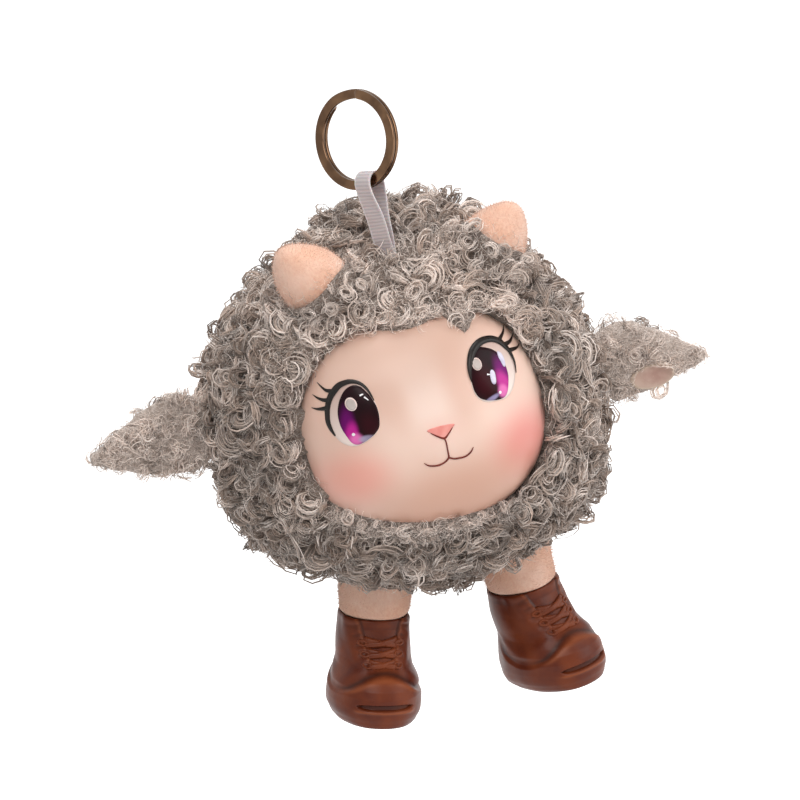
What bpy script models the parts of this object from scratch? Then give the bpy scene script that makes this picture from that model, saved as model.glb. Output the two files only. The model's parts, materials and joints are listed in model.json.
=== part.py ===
"""Plush sheep charm: a ball of curly fur with a vinyl face, soft horns, ears and legs, on a split ring.

The sheep faces -Y, +X is the viewer's right and +Z is up. The origin is the point inside the top of the
split ring where a hook or another ring carries the charm.
"""

import math

import bmesh
import bpy
from mathutils import Matrix, Vector

MM = 0.001

# Clearances
GAP = 0.3 * MM
OVERRUN = 6 * MM
MERGE = 0.01 * MM

# Split ring: two flat turns of spring steel
RING_OUTER_RADIUS = 12.5 * MM
RING_BAND = 2.4 * MM
RING_TURN_THICKNESS = 1.0 * MM
RING_TURN_SPACING = 1.25 * MM
RING_EDGE_CHAMFER = 0.2 * MM
RING_YAW = math.radians(50)
RING_LEAN = math.radians(15)
RING_FRONT_END = math.radians(5)
RING_CROSSING_START = math.radians(328)
RING_CROSSING_END = math.radians(362)
RING_BACK_END = math.radians(684)
RING_STEPS_PER_TURN = 32

# Ribbon: one folded length, sewn into the crown
RIBBON_WIDTH = 4.0 * MM
RIBBON_THICKNESS = 0.45 * MM
RIBBON_FREE_LENGTH = 14.2 * MM
RIBBON_SEAT_TURN = math.radians(16)
RIBBON_PIVOT_RISE = 1.0 * MM
RIBBON_FOLD_STEPS = 10
RIBBON_STRAND_STEPS = 6
SEAM_DIP = 0.8 * MM

# Where the crown of the ball is sewn to the ribbon
CROWN_SEAM_SIDE = 1.6 * MM
CROWN_SEAM_FORWARD = 20.2 * MM

# Ball of curly fur over its backing cloth
BALL_HALF_WIDTH = 52.0 * MM
BALL_HALF_DEPTH = 47.0 * MM
BALL_HALF_HEIGHT = 52.5 * MM
PILE_DEPTH = 8.5 * MM
TOP_FULLNESS = 2.05
BOTTOM_FULLNESS = 2.4

# Swells and dents of the ball: direction, height share and width share
SWELL_SHARES = (
    ((-0.534, -0.172, -0.828), -0.13, 0.30),
    ((-0.081, -0.284, -0.955), -0.035, 0.25),
    ((-0.958, 0.065, -0.279), 0.06, 0.25),
    ((-0.913, 0.246, 0.327), 0.04, 0.22),
    ((-0.344, 0.327, 0.880), -0.05, 0.28),
    ((0.381, 0.219, 0.899), 0.06, 0.25),
    ((0.862, 0.021, 0.507), -0.045, 0.30),
)

# Vinyl face
FACE_HALF_WIDTH = 31.2 * MM
FACE_HALF_HEIGHT = 28.5 * MM
FACE_BULGE = 22.0 * MM
FACE_WALL = 1.8 * MM
FACE_FLANGE = 2.4 * MM
FACE_FILLING_SLACK = 0.45 * MM
FACE_FORWARD = 27.0 * MM
FACE_RISE = 3.0 * MM
FACE_SIDE = -1.5 * MM
FACE_TILT = math.radians(8.5)
FACE_ROLL = math.radians(2.5)
FACE_OUTLINE_FULLNESS = 2.3
FACE_DOME_FULLNESS = 2.25
FUR_FLARE = math.radians(45)
FUR_FLARE_START = 2.5 * MM

# Soft forms of the face: how far each stands out and how wide it is
CHEEK_HEIGHT = 1.2 * MM
CHEEK_WIDTH = 11.0 * MM
EYE_HOLLOW_DEPTH = 0.9 * MM
EYE_HOLLOW_WIDTH = 9.0 * MM
MUZZLE_HEIGHT = 0.9 * MM
MUZZLE_WIDTH = 8.0 * MM
CHEEK_PLACE_SHARES = (0.53, -0.40)
MUZZLE_PLACE_SHARES = (0.0, -0.22)

# Domed eyes set into the face
EYE_HALF_WIDTH = 6.6 * MM
EYE_HALF_HEIGHT = 8.4 * MM
EYE_SIDE = 19.0 * MM
EYE_RISE = 9.3 * MM
EYE_DOME = 0.9 * MM
EYE_SEAT_DEPTH = 0.8 * MM

# Horns of short plush
HORN_RADIUS = 8.9 * MM
HORN_LENGTH = 21.5 * MM
HORN_ROOT_DEPTH = 3.0 * MM
HORN_CLOTH = 0.9 * MM
HORN_PROFILE_SHARES = (
    (0.0, 0.80), (0.36, 1.0), (0.54, 0.92), (0.70, 0.77), (0.83, 0.58), (0.93, 0.37), (0.985, 0.18),
)
HORN_FACE_GAP_LEFT = 11.1 * MM
HORN_FACE_GAP_RIGHT = 6.6 * MM
HORN_SEAT_SHARES = {
    "left": {"side": -0.313, "forward": -0.509, "axis": (-0.53, -0.22, 0.82)},
    "right": {"side": 0.508, "forward": -0.466, "axis": (0.60, -0.30, 0.74)},
}

# Ears: a fur leaf with a short-plush lining on its lower half
EAR_LENGTH = 33.0 * MM
EAR_HALF_HEIGHT = 11.8 * MM
EAR_THICKNESS = 5.4 * MM
EAR_TIP_THICKNESS = 3.0 * MM
EAR_ROOT_RADIUS = 5.4 * MM
EAR_SINK = 2.2 * MM
EAR_BACK = 1.0 * MM
EAR_LINING_THICKNESS = 1.2 * MM
EAR_LINING_LENGTH = 13.6 * MM
EAR_LINING_START = 9.5 * MM
EAR_LINING_HEIGHT = 7.6 * MM
EAR_TIP_DROP = 0.5 * MM
EAR_FULLNESS = 3.0
EAR_FLAP = math.radians(25)
EAR_SLACK = 0.5 * MM
EAR_RISE_LEFT = 8.6 * MM
EAR_RISE_RIGHT = -4.5 * MM
EAR_DROOP_RIGHT = math.radians(13)
EAR_LEAF_SHARES = (
    (0.10, 0.80), (0.18, 0.97), (0.27, 1.0), (0.42, 0.90), (0.60, 0.70), (0.78, 0.46), (0.92, 0.25), (1.0, 0.10),
)

# Legs of short plush
LEG_RADIUS = 9.7 * MM
ANKLE_RADIUS = 8.7 * MM
LEG_LENGTH_LEFT = 36.8 * MM
LEG_LENGTH_RIGHT = 38.8 * MM
LEG_CLOTH = 0.9 * MM
LEG_IN_BOOT = 10.0 * MM
LEG_IN_BOOT_RADIUS = 7.6 * MM
LEG_TUCK = 1.6 * MM
LEG_SWING = math.radians(25)
HIP_FORWARD = 5.0 * MM
HIP_SIDE_LEFT = -18.6 * MM
HIP_SIDE_RIGHT = 18.0 * MM
HIP_DROP_LEFT = 40.0 * MM
HIP_DROP_RIGHT = 42.0 * MM
LEG_SPLAY_LEFT = math.radians(17)
LEG_SPLAY_RIGHT = math.radians(0)

# Moulded vinyl boots
BOOT_HEIGHT = 25.5 * MM
BOOT_WIDTH = 23.2 * MM
BOOT_TOE_REACH = 20.5 * MM
BOOT_HEEL_REACH = 11.0 * MM
BOOT_WALL = 1.2 * MM
BOOT_TOE_OUT_LEFT = math.radians(0)
BOOT_TOE_OUT_RIGHT = math.radians(25)
BOOT_SLOT_WIDTH = 13.4 * MM
BOOT_SLOT_HEIGHT = 1.8 * MM
BOOT_SLOT_DEPTH = 1.6 * MM
BOOT_SLOT_RISE = 6.2 * MM
BOOT_SLOT_FRONT_SHARE = 0.985
BOOT_FULLNESS = 2.15

# How finely round forms are divided
BALL_STEPS = 36
INNER_BALL_STEPS = 24
FACE_STEPS = 40
EYE_STEPS = 20
TURNED_STEPS = 16
LOFT_STEPS = 20

RING_INNER_RADIUS = RING_OUTER_RADIUS - RING_BAND
RING_COIL_HALF = (RING_TURN_SPACING + RING_TURN_THICKNESS) / 2
BALL_HALVES = Vector((BALL_HALF_WIDTH, BALL_HALF_DEPTH, BALL_HALF_HEIGHT))
BACKING_HALVES = BALL_HALVES - Vector((PILE_DEPTH, PILE_DEPTH, PILE_DEPTH))
FACE_TOP = FACE_RISE + FACE_HALF_HEIGHT
EAR_HINGE_SIDE = BALL_HALF_WIDTH - EAR_SINK
BOOT_LENGTH = BOOT_TOE_REACH + BOOT_HEEL_REACH

COLOURS = {
    "steel": ((0.46, 0.42, 0.39), 0.22, 1.0),
    "ribbon": ((0.62, 0.58, 0.60), 0.55, 0.0),
    "grey fur": ((0.24, 0.21, 0.20), 0.95, 0.0),
    "fibre": ((0.86, 0.85, 0.82), 0.95, 0.0),
    "face vinyl": ((0.86, 0.66, 0.56), 0.45, 0.0),
    "eye gloss": ((0.16, 0.01, 0.12), 0.08, 0.0),
    "pink plush": ((0.82, 0.52, 0.42), 0.9, 0.0),
    "boot vinyl": ((0.15, 0.035, 0.016), 0.38, 0.0),
}


def clear_scene():
    for obj in list(bpy.data.objects):
        bpy.data.objects.remove(obj, do_unlink=True)


def new_collection(name):
    found = bpy.data.collections.new(name)
    bpy.context.scene.collection.children.link(found)
    return found


clear_scene()
PIECES = new_collection("plush_sheep")
CUTTERS = new_collection("cutters")
MATERIALS = {}


def material(name):
    """One Principled material for each finish."""
    if name not in MATERIALS:
        colour, roughness, metallic = COLOURS[name]
        made = bpy.data.materials.new(name)
        made.use_nodes = True
        shader = made.node_tree.nodes["Principled BSDF"]
        shader.inputs["Base Color"].default_value = (*colour, 1.0)
        shader.inputs["Roughness"].default_value = roughness
        shader.inputs["Metallic"].default_value = metallic
        MATERIALS[name] = made
    return MATERIALS[name]


def link(obj, finish, place=None, parent=None):
    """Puts an object among the pieces, or among the cutters if it has no finish."""
    if finish:
        PIECES.objects.link(obj)
        obj.data.materials.append(material(finish))
    else:
        CUTTERS.objects.link(obj)
        obj.hide_render = True
        obj.display_type = "WIRE"
    if place is not None:
        obj.matrix_world = place
    obj.parent = parent
    return obj


def mesh_object(name, bm, finish=None, place=None, parent=None, smooth=True, closed=True):
    if closed:
        bmesh.ops.recalc_face_normals(bm, faces=bm.faces)
    mesh = bpy.data.meshes.new(name)
    bm.to_mesh(mesh)
    bm.free()
    if smooth:
        mesh.shade_smooth()
        mesh.set_sharp_from_angle(angle=math.radians(40))
    return link(bpy.data.objects.new(name, mesh), finish, place, parent)


def frame(name, place):
    """An empty that carries a moving group, with its place on the joint's axis."""
    empty = bpy.data.objects.new(name, None)
    PIECES.objects.link(empty)
    empty.matrix_world = place
    return empty


def cut(obj, tool, operation="DIFFERENCE"):
    modifier = obj.modifiers.new(tool.name, "BOOLEAN")
    modifier.operation = operation
    modifier.object = tool
    modifier.solver = "EXACT"


def solidify(obj, thickness):
    """Thickens an open surface inwards."""
    modifier = obj.modifiers.new("wall", "SOLIDIFY")
    modifier.thickness = thickness
    modifier.offset = -1
    modifier.use_even_offset = True


def loft(sections, closed=True):
    """Joins rings of equally many points, and closes both ends."""
    bm = bmesh.new()
    rings = [[bm.verts.new(point) for point in section] for section in sections]
    for lower, upper in zip(rings, rings[1:]):
        count = len(lower)
        for i in range(count):
            j = (i + 1) % count
            bm.faces.new((lower[i], lower[j], upper[j], upper[i]))
    if closed:
        bm.faces.new(list(reversed(rings[0])))
        bm.faces.new(rings[-1])
    return bm


def oval(half_a, half_b, fullness, steps):
    """Points round a full oval, as pairs."""
    points = []
    for i in range(steps):
        turn = 2 * math.pi * i / steps
        c = math.cos(turn)
        s = math.sin(turn)
        reach = (abs(c) ** fullness + abs(s) ** fullness) ** (-1 / fullness)
        points.append((half_a * c * reach, half_b * s * reach))
    return points


def turned(name, profile, finish=None, place=None, parent=None, wall=None, steps=TURNED_STEPS):
    """Turns a profile of (radius, height) pairs, listed from top to bottom, about the Z axis."""
    mesh = bpy.data.meshes.new(name)
    points = [(radius, 0, height) for radius, height in profile]
    mesh.from_pydata(points, [(i, i + 1) for i in range(len(points) - 1)], [])
    obj = link(bpy.data.objects.new(name, mesh), finish, place, parent)
    screw = obj.modifiers.new("turn", "SCREW")
    screw.steps = steps
    screw.render_steps = steps
    screw.use_merge_vertices = True
    screw.merge_threshold = MERGE
    screw.use_smooth_shade = True
    if wall:
        solidify(obj, wall)
    return obj


# Ball


def fullness_at(up):
    """The ball is rounder at the crown and fuller towards the legs."""
    share = (up + 1) / 2
    share = share * share * (3 - 2 * share)
    return BOTTOM_FULLNESS + (TOP_FULLNESS - BOTTOM_FULLNESS) * share


def plump(direction, halves):
    """The point of the ball's surface in a direction given in half sizes."""
    u = Vector(direction).normalized()
    fullness = fullness_at(u.z)
    reach = (abs(u.x) ** fullness + abs(u.y) ** fullness + abs(u.z) ** fullness) ** (-1 / fullness)
    swell = 1.0
    for middle, height, width in SWELL_SHARES:
        swell += height * math.exp(2 * (u.dot(Vector(middle).normalized()) - 1) / width**2)
    return Vector((u.x * halves.x, u.y * halves.y, u.z * halves.z)) * reach * swell


def ball_height(x, y, halves):
    """How high the ball's upper surface lies over a place."""
    low = 0.0
    high = 2 * halves.z
    for _ in range(40):
        middle = (low + high) / 2
        shares = Vector((x / halves.x, y / halves.y, middle / halves.z))
        inside = plump(shares, Vector((1, 1, 1))).length > shares.length
        low, high = (middle, high) if inside else (low, middle)
    return low


def ball(name, halves, steps, finish=None):
    bm = bmesh.new()
    bmesh.ops.create_uvsphere(bm, u_segments=steps, v_segments=steps // 2, radius=1)
    for vertex in bm.verts:
        vertex.co = plump(vertex.co, halves)
    bmesh.ops.triangulate(bm, faces=bm.faces, quad_method="FIXED")
    return mesh_object(name, bm, finish, BALL)


SEAM_PLACE = (CROWN_SEAM_SIDE, -CROWN_SEAM_FORWARD)
PIVOT_OVER_BALL = ball_height(*SEAM_PLACE, BALL_HALVES) + RIBBON_PIVOT_RISE
SEAM_OVER_BALL = ball_height(*SEAM_PLACE, BACKING_HALVES)
YAW = Matrix.Rotation(-RING_YAW, 4, "Z")
HANGER = YAW @ Matrix.Rotation(-RING_LEAN, 4, "X")
BAND_RADIUS = RING_OUTER_RADIUS - RING_BAND / 2
SEAT_SIDE = BAND_RADIUS * math.sin(RIBBON_SEAT_TURN)
SEAT_DROP = RING_INNER_RADIUS + BAND_RADIUS * math.cos(RIBBON_SEAT_TURN)
BAND_SEAT = HANGER @ Vector((SEAT_SIDE, 0, -SEAT_DROP))
PIVOT = BAND_SEAT - Vector((0, 0, RIBBON_FREE_LENGTH))
BALL_CENTRE = PIVOT - Vector((*SEAM_PLACE, PIVOT_OVER_BALL))
BALL = Matrix.Translation(BALL_CENTRE)

# Split ring


def crossing(turn):
    """How far the coil has passed from its front layer to its back layer."""
    share = (turn - RING_CROSSING_START) / (RING_CROSSING_END - RING_CROSSING_START)
    share = min(max(share, 0.0), 1.0)
    return share * share * (3 - 2 * share)


def make_key_ring():
    """One flat wire wound twice, with its crossing just before its front end."""
    half_band = RING_BAND / 2
    half_thick = RING_TURN_THICKNESS / 2
    inner = half_band - RING_EDGE_CHAMFER
    low = half_thick - RING_EDGE_CHAMFER
    corners = [
        (half_band, -low), (half_band, low), (inner, half_thick), (-inner, half_thick),
        (-half_band, low), (-half_band, -low), (-inner, -half_thick), (inner, -half_thick),
    ]
    count = round(RING_STEPS_PER_TURN * (RING_BACK_END - RING_FRONT_END) / (2 * math.pi))
    sections = []
    for i in range(count + 1):
        turn = RING_FRONT_END + (RING_BACK_END - RING_FRONT_END) * i / count
        layer = RING_TURN_SPACING * (crossing(turn) - 0.5)
        out = Vector((math.sin(turn), 0, math.cos(turn)))
        section = [out * (BAND_RADIUS + a) + Vector((0, layer + b, 0)) for a, b in corners]
        sections.append(section)
    place = HANGER @ Matrix.Translation((0, 0, -RING_INNER_RADIUS))
    return mesh_object("key_ring", loft(sections), "steel", place)


# Ribbon

STRAND_OFFSET = (RIBBON_THICKNESS + GAP) / 2
BAND_CURVE_AT_EDGE = RING_INNER_RADIUS - math.sqrt(RING_INNER_RADIUS**2 - (RIBBON_WIDTH / 2) ** 2)
BAND_RISE_AT_EDGE = BAND_CURVE_AT_EDGE + RIBBON_WIDTH / 2 * math.tan(RIBBON_SEAT_TURN)
FOLD_INNER_RADIUS = math.hypot(RING_BAND / 2 + BAND_RISE_AT_EDGE, RING_COIL_HALF) + GAP
FOLD_RADIUS = FOLD_INNER_RADIUS + RIBBON_THICKNESS / 2
TAB_HALF = STRAND_OFFSET + RIBBON_THICKNESS / 2


def make_ribbon_loop(seat):
    """The free length of ribbon: up in front, over the ring's band and down behind."""
    bottom = -RIBBON_FREE_LENGTH + TAB_HALF + GAP
    strand = []
    for i in range(RIBBON_STRAND_STEPS):
        share = i / RIBBON_STRAND_STEPS
        spread = share * share * (3 - 2 * share)
        strand.append((STRAND_OFFSET + (FOLD_RADIUS - STRAND_OFFSET) * spread, bottom * (1 - share)))
    fold = []
    for i in range(RIBBON_FOLD_STEPS + 1):
        turn = math.pi * i / RIBBON_FOLD_STEPS
        fold.append((-FOLD_RADIUS * math.cos(turn), FOLD_RADIUS * math.sin(turn)))
    path = [(-y, z) for y, z in strand] + fold + list(reversed(strand))
    bm = bmesh.new()
    half = RIBBON_WIDTH / 2
    pairs = [(bm.verts.new((-half, y, z)), bm.verts.new((half, y, z))) for y, z in path]
    for (a, b), (c, d) in zip(pairs, pairs[1:]):
        bm.faces.new((a, b, d, c))
    obj = mesh_object("ribbon_loop", bm, "ribbon", parent=seat, closed=False)
    wall = obj.modifiers.new("thickness", "SOLIDIFY")
    wall.thickness = RIBBON_THICKNESS
    wall.offset = 0
    wall.use_even_offset = True
    return obj


def tab_prism(name, half_width, half_thick, top, bottom, finish, place):
    """The ribbon's two sewn ends pressed together, with a round fold line on top."""
    outline = [(-half_thick, bottom)]
    for i in range(RIBBON_FOLD_STEPS + 1):
        turn = math.pi * i / RIBBON_FOLD_STEPS
        outline.append((-half_thick * math.cos(turn), top + half_thick * math.sin(turn)))
    outline.append((half_thick, bottom))
    sections = [[(x, y, z) for y, z in outline] for x in (-half_width, half_width)]
    return mesh_object(name, loft(sections), finish, place)


def make_ribbon_tab():
    length = PIVOT_OVER_BALL - SEAM_OVER_BALL
    pivot = Matrix.Translation(PIVOT) @ YAW
    tab_prism("ribbon_tab", RIBBON_WIDTH / 2, TAB_HALF, 0, -length + SEAM_DIP, "ribbon", pivot)
    return tab_prism("tab slot", RIBBON_WIDTH / 2 + GAP, TAB_HALF + GAP, 0, -length - OVERRUN, None, pivot)


# Face

FACE = (
    BALL
    @ Matrix.Translation((FACE_SIDE, -FACE_FORWARD, FACE_RISE))
    @ Matrix.Rotation(-FACE_TILT, 4, "X")
    @ Matrix.Rotation(-FACE_ROLL, 4, "Y")
)


def hill(x, z, place_x, place_z, width):
    return math.exp(-((x - place_x) ** 2 + (z - place_z) ** 2) / width**2)


def face_front(x, z, inset=0.0):
    """How far the face stands in front of its rim plane, with its cheeks, eye hollows and muzzle."""
    half_x = FACE_HALF_WIDTH - inset
    half_z = FACE_HALF_HEIGHT - inset
    n = FACE_OUTLINE_FULLNESS
    edge = min(((abs(x) / half_x) ** n + (abs(z) / half_z) ** n) ** (1 / n), 1.0)
    dome = (FACE_BULGE - inset) * (1 - edge**FACE_DOME_FULLNESS) ** (1 / FACE_DOME_FULLNESS)
    soft = 0.0
    for side in (-1, 1):
        cheek_x = side * CHEEK_PLACE_SHARES[0] * FACE_HALF_WIDTH
        cheek_z = CHEEK_PLACE_SHARES[1] * FACE_HALF_HEIGHT
        soft += CHEEK_HEIGHT * hill(x, z, cheek_x, cheek_z, CHEEK_WIDTH)
        soft -= EYE_HOLLOW_DEPTH * hill(x, z, side * EYE_SIDE, EYE_RISE, EYE_HOLLOW_WIDTH)
    muzzle_z = MUZZLE_PLACE_SHARES[1] * FACE_HALF_HEIGHT
    soft += MUZZLE_HEIGHT * hill(x, z, 0, muzzle_z, MUZZLE_WIDTH)
    return dome + soft * (1 - edge * edge)


def face_outline(grow):
    """The rim of the face, grown outwards."""
    return oval(FACE_HALF_WIDTH + grow, FACE_HALF_HEIGHT + grow, FACE_OUTLINE_FULLNESS, FACE_STEPS)


def face_dome(inset=0.0):
    """The rings of the dome's surface, from its rim to near its middle."""
    rings = []
    for i in range(FACE_STEPS // 4):
        share = math.cos(math.pi / 2 * i / (FACE_STEPS // 4))
        ring = [(x * share, z * share) for x, z in face_outline(-inset)]
        rings.append([(x, -face_front(x, z, inset), z) for x, z in ring])
    return rings


def close_dome(bm, ring, inset=0.0):
    """Closes the middle of the dome with a fan of faces."""
    top = bm.verts.new((0, -face_front(0, 0, inset), 0))
    for i, vertex in enumerate(ring):
        bm.faces.new((vertex, ring[(i + 1) % len(ring)], top))


def make_face_mask():
    """A thin moulded shell with a flat flange round its rim."""
    rings = [[(x, 0, z) for x, z in face_outline(FACE_FLANGE)]] + face_dome()
    bm = loft(rings, closed=False)
    bm.verts.ensure_lookup_table()
    close_dome(bm, bm.verts[-FACE_STEPS:])
    obj = mesh_object("face_mask", bm, "face vinyl", FACE, closed=False)
    solidify(obj, FACE_WALL)
    return obj


def make_face_filling():
    """The hollow of the face, which the stuffing fills."""
    inset = FACE_WALL + FACE_FILLING_SLACK
    back = [(x, FACE_WALL + OVERRUN, z) for x, z in face_outline(-inset)]
    bm = loft([back] + face_dome(inset), closed=False)
    bm.verts.ensure_lookup_table()
    bm.faces.new(list(reversed(bm.verts[:FACE_STEPS])))
    close_dome(bm, bm.verts[-FACE_STEPS:], inset)
    return mesh_object("face filling", bm, None, FACE)


def make_face_opening(name, lipped):
    """The room for the face and its flange. In the fur a lip holds the flange and the pile flares away."""
    slot = FACE_FLANGE + GAP
    steps = [(slot, -FACE_WALL - GAP), (slot, GAP)]
    if lipped:
        steps += [(GAP, GAP), (GAP, FUR_FLARE_START)]
    spread = BALL_HALF_DEPTH * math.tan(FUR_FLARE)
    steps.append((spread, FUR_FLARE_START + BALL_HALF_DEPTH))
    sections = [[(x, -depth, z) for x, z in face_outline(grow)] for grow, depth in steps]
    return mesh_object(name, loft(sections), None, FACE)


def eye_lens(name, side, grow, dome, seat, finish=None):
    """A lens that follows the face's surface and bulges from it."""
    bm = bmesh.new()
    bmesh.ops.create_uvsphere(bm, u_segments=EYE_STEPS, v_segments=EYE_STEPS // 3, radius=1)
    step = EYE_DOME
    for vertex in bm.verts:
        x = side * EYE_SIDE + vertex.co.x * (EYE_HALF_WIDTH + grow)
        z = EYE_RISE + vertex.co.y * (EYE_HALF_HEIGHT + grow)
        slope_x = (face_front(x + step, z) - face_front(x - step, z)) / (2 * step)
        slope_z = (face_front(x, z + step) - face_front(x, z - step)) / (2 * step)
        outward = Vector((-slope_x, -1, -slope_z)).normalized()
        height = vertex.co.z * (dome if vertex.co.z > 0 else seat)
        vertex.co = Vector((x, -face_front(x, z), z)) + outward * height
    return mesh_object(name, bm, finish, FACE)


def make_eye(label, side, mask):
    eye_lens(f"eye_{label}", side, 0, EYE_DOME, EYE_SEAT_DEPTH, "eye gloss")
    socket = eye_lens(f"eye socket {label}", side, GAP, EYE_DOME + GAP, EYE_SEAT_DEPTH + GAP)
    cut(mask, socket)


# Horns


def horn_profile(grow, root):
    """Radius and height from the tip down to the root."""
    sides = [((HORN_RADIUS + grow) * r, (HORN_LENGTH + grow) * h) for h, r in reversed(HORN_PROFILE_SHARES)]
    return [(0, HORN_LENGTH + grow)] + sides + [(sides[-1][0], -root)]


def make_horn(label, seat_shares, face_gap, backing):
    """One horn. Its seat on the ball stays the given gap above the top of the face."""
    axis = Vector(seat_shares["axis"]).normalized()
    rise_share = (FACE_TOP + face_gap) / BALL_HALF_HEIGHT
    base = plump((seat_shares["side"], seat_shares["forward"], rise_share), BACKING_HALVES)
    turn = Vector((0, 0, 1)).rotation_difference(axis).to_matrix().to_4x4()
    place = BALL @ Matrix.Translation(base) @ turn
    cover = turned(f"horn_{label}", horn_profile(0, HORN_ROOT_DEPTH), "pink plush", place, wall=HORN_CLOTH)
    cut(cover, backing)
    filling = horn_profile(-HORN_CLOTH - GAP, HORN_ROOT_DEPTH) + [(0, -HORN_ROOT_DEPTH)]
    stuffing = turned(f"horn_{label}_stuffing", filling, "fibre", place)
    cut(stuffing, backing)
    hole = horn_profile(GAP, HORN_ROOT_DEPTH) + [(0, -HORN_ROOT_DEPTH)]
    return turned(f"horn hole {label}", hole, None, place)


# Ears


def ear_stations():
    """Distance from the hinge, half height and thickness along the leaf, from the round root to the tip."""
    stations = []
    for i in range(1, 5):
        turn = math.pi / 2 * i / 4
        stations.append((-EAR_ROOT_RADIUS * math.cos(turn), EAR_ROOT_RADIUS * math.sin(turn), EAR_THICKNESS))
    for along, height in EAR_LEAF_SHARES:
        thick = EAR_THICKNESS + (EAR_TIP_THICKNESS - EAR_THICKNESS) * along
        stations.append((EAR_LENGTH * along, EAR_HALF_HEIGHT * height, thick))
    return stations


def ear_drop(along):
    """The leaf's middle line sinks towards its tip."""
    share = max(along, 0.0) / EAR_LENGTH
    return -EAR_TIP_DROP * share * share


def leaf_section(x, z, half_height, half_thick, side):
    outline = oval(half_thick, half_height, EAR_FULLNESS, LOFT_STEPS)
    return [(side * x, y, z + height) for y, height in outline]


def make_ear(label, side, rise, droop, lining_side, fur):
    """One ear: its fur leaf, its lining and the room that it flaps in."""
    hinge = BALL @ Matrix.Translation((side * EAR_HINGE_SIDE, EAR_BACK, rise))
    hinge = hinge @ Matrix.Rotation(side * droop, 4, "Y")
    carrier = frame(f"ear hinge {label}", hinge)
    leaf = [leaf_section(x, ear_drop(x), h, t / 2, side) for x, h, t in ear_stations()]
    cover = mesh_object(f"ear_{label}", loft(leaf), "grey fur", parent=carrier)

    def lining(name, grow, finish):
        bm = bmesh.new()
        bmesh.ops.create_cone(
            bm, cap_ends=True, segments=LOFT_STEPS, radius1=1, radius2=1, depth=1,
            matrix=Matrix.Rotation(math.pi / 2, 4, "X"),
        )
        centre_x = EAR_LINING_START + EAR_LINING_LENGTH / 2
        front = lining_side * (EAR_THICKNESS / 2 - EAR_LINING_THICKNESS / 2)
        for vertex in bm.verts:
            x = centre_x + vertex.co.x * (EAR_LINING_LENGTH / 2 + grow)
            z = -EAR_LINING_HEIGHT / 2 + ear_drop(x) + vertex.co.z * (EAR_LINING_HEIGHT / 2 + grow)
            y = front + vertex.co.y * (EAR_LINING_THICKNESS + 2 * grow)
            vertex.co = (side * x, y, z)
        return mesh_object(name, bm, finish, parent=carrier)

    lining(f"ear_{label}_lining", 0, "pink plush")
    cut(cover, lining(f"ear lining seat {label}", GAP, None))

    room = []
    pocket_half = EAR_THICKNESS / 2 + EAR_SLACK
    reach = EAR_ROOT_RADIUS + EAR_SLACK
    for i in range(1, 4):
        turn = math.pi / 2 * i / 4
        room.append((-reach * math.cos(turn), reach * math.sin(turn)))
    for x, h, _ in ear_stations()[3:7]:
        swung_x = x * math.cos(EAR_FLAP) - h * math.sin(EAR_FLAP)
        swung_z = x * math.sin(EAR_FLAP) + h * math.cos(EAR_FLAP) + EAR_SLACK
        if swung_x > room[-1][0]:
            room.append((swung_x, swung_z))
    last_x, last_z = room[-1]
    room.append((last_x + OVERRUN, last_z + OVERRUN))
    sections = [leaf_section(x, 0, h, pocket_half, side) for x, h in room]
    cut(fur, mesh_object(f"ear pocket {label}", loft(sections), None, parent=carrier))


# Legs and boots


def leg_profile(grow, length):
    """Radius and height of the leg, from its round top to its narrow lower end inside the boot."""
    radius = LEG_RADIUS + grow
    points = []
    for i in range(4):
        turn = math.pi / 2 * i / 4
        points.append((radius * math.sin(turn), radius * math.cos(turn)))
    ankle = length - BOOT_HEIGHT
    points.append((radius, 0))
    points.append(((LEG_RADIUS + ANKLE_RADIUS) / 2 + grow, -ankle / 2))
    points.append((ANKLE_RADIUS + grow, -ankle + LEG_TUCK))
    points.append((LEG_IN_BOOT_RADIUS + grow, -ankle))
    points.append((LEG_IN_BOOT_RADIUS + grow, -ankle - LEG_IN_BOOT))
    return points


def leg_room(name, carrier):
    """The space in the fur and the stuffing in which the top of the leg swings fore and aft."""
    radius = LEG_RADIUS + GAP
    sections = []
    for i in range(1, 6):
        turn = math.pi / 2 * i / 6
        ring = oval(radius * math.sin(turn), radius * math.sin(turn), 2, LOFT_STEPS)
        sections.append([(x, y, radius * math.cos(turn)) for x, y in ring])
    for drop in (0.0, HIP_DROP_LEFT):
        half_y = radius / math.cos(LEG_SWING) + drop * math.tan(LEG_SWING)
        ring = oval(radius, half_y, 2, LOFT_STEPS)
        sections.append([(x, y, -drop) for x, y in ring])
    return mesh_object(name, loft(list(reversed(sections))), None, parent=carrier)


BOOT_SECTION_SHARES = (
    (0.0, 0.935, 0.90, 0.975),
    (0.03, 0.975, 0.96, 0.99),
    (0.09, 1.0, 0.995, 1.0),
    (0.20, 1.0, 1.0, 1.0),
    (0.30, 0.985, 0.985, 0.99),
    (0.38, 0.95, 0.95, 0.955),
    (0.45, 0.895, 0.895, 0.885),
    (0.52, 0.82, 0.85, 0.785),
    (0.60, 0.745, 0.835, 0.66),
    (0.76, 0.66, 0.83, 0.52),
    (0.90, 0.63, 0.83, 0.47),
    (1.0, 0.625, 0.83, 0.46),
)


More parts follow.
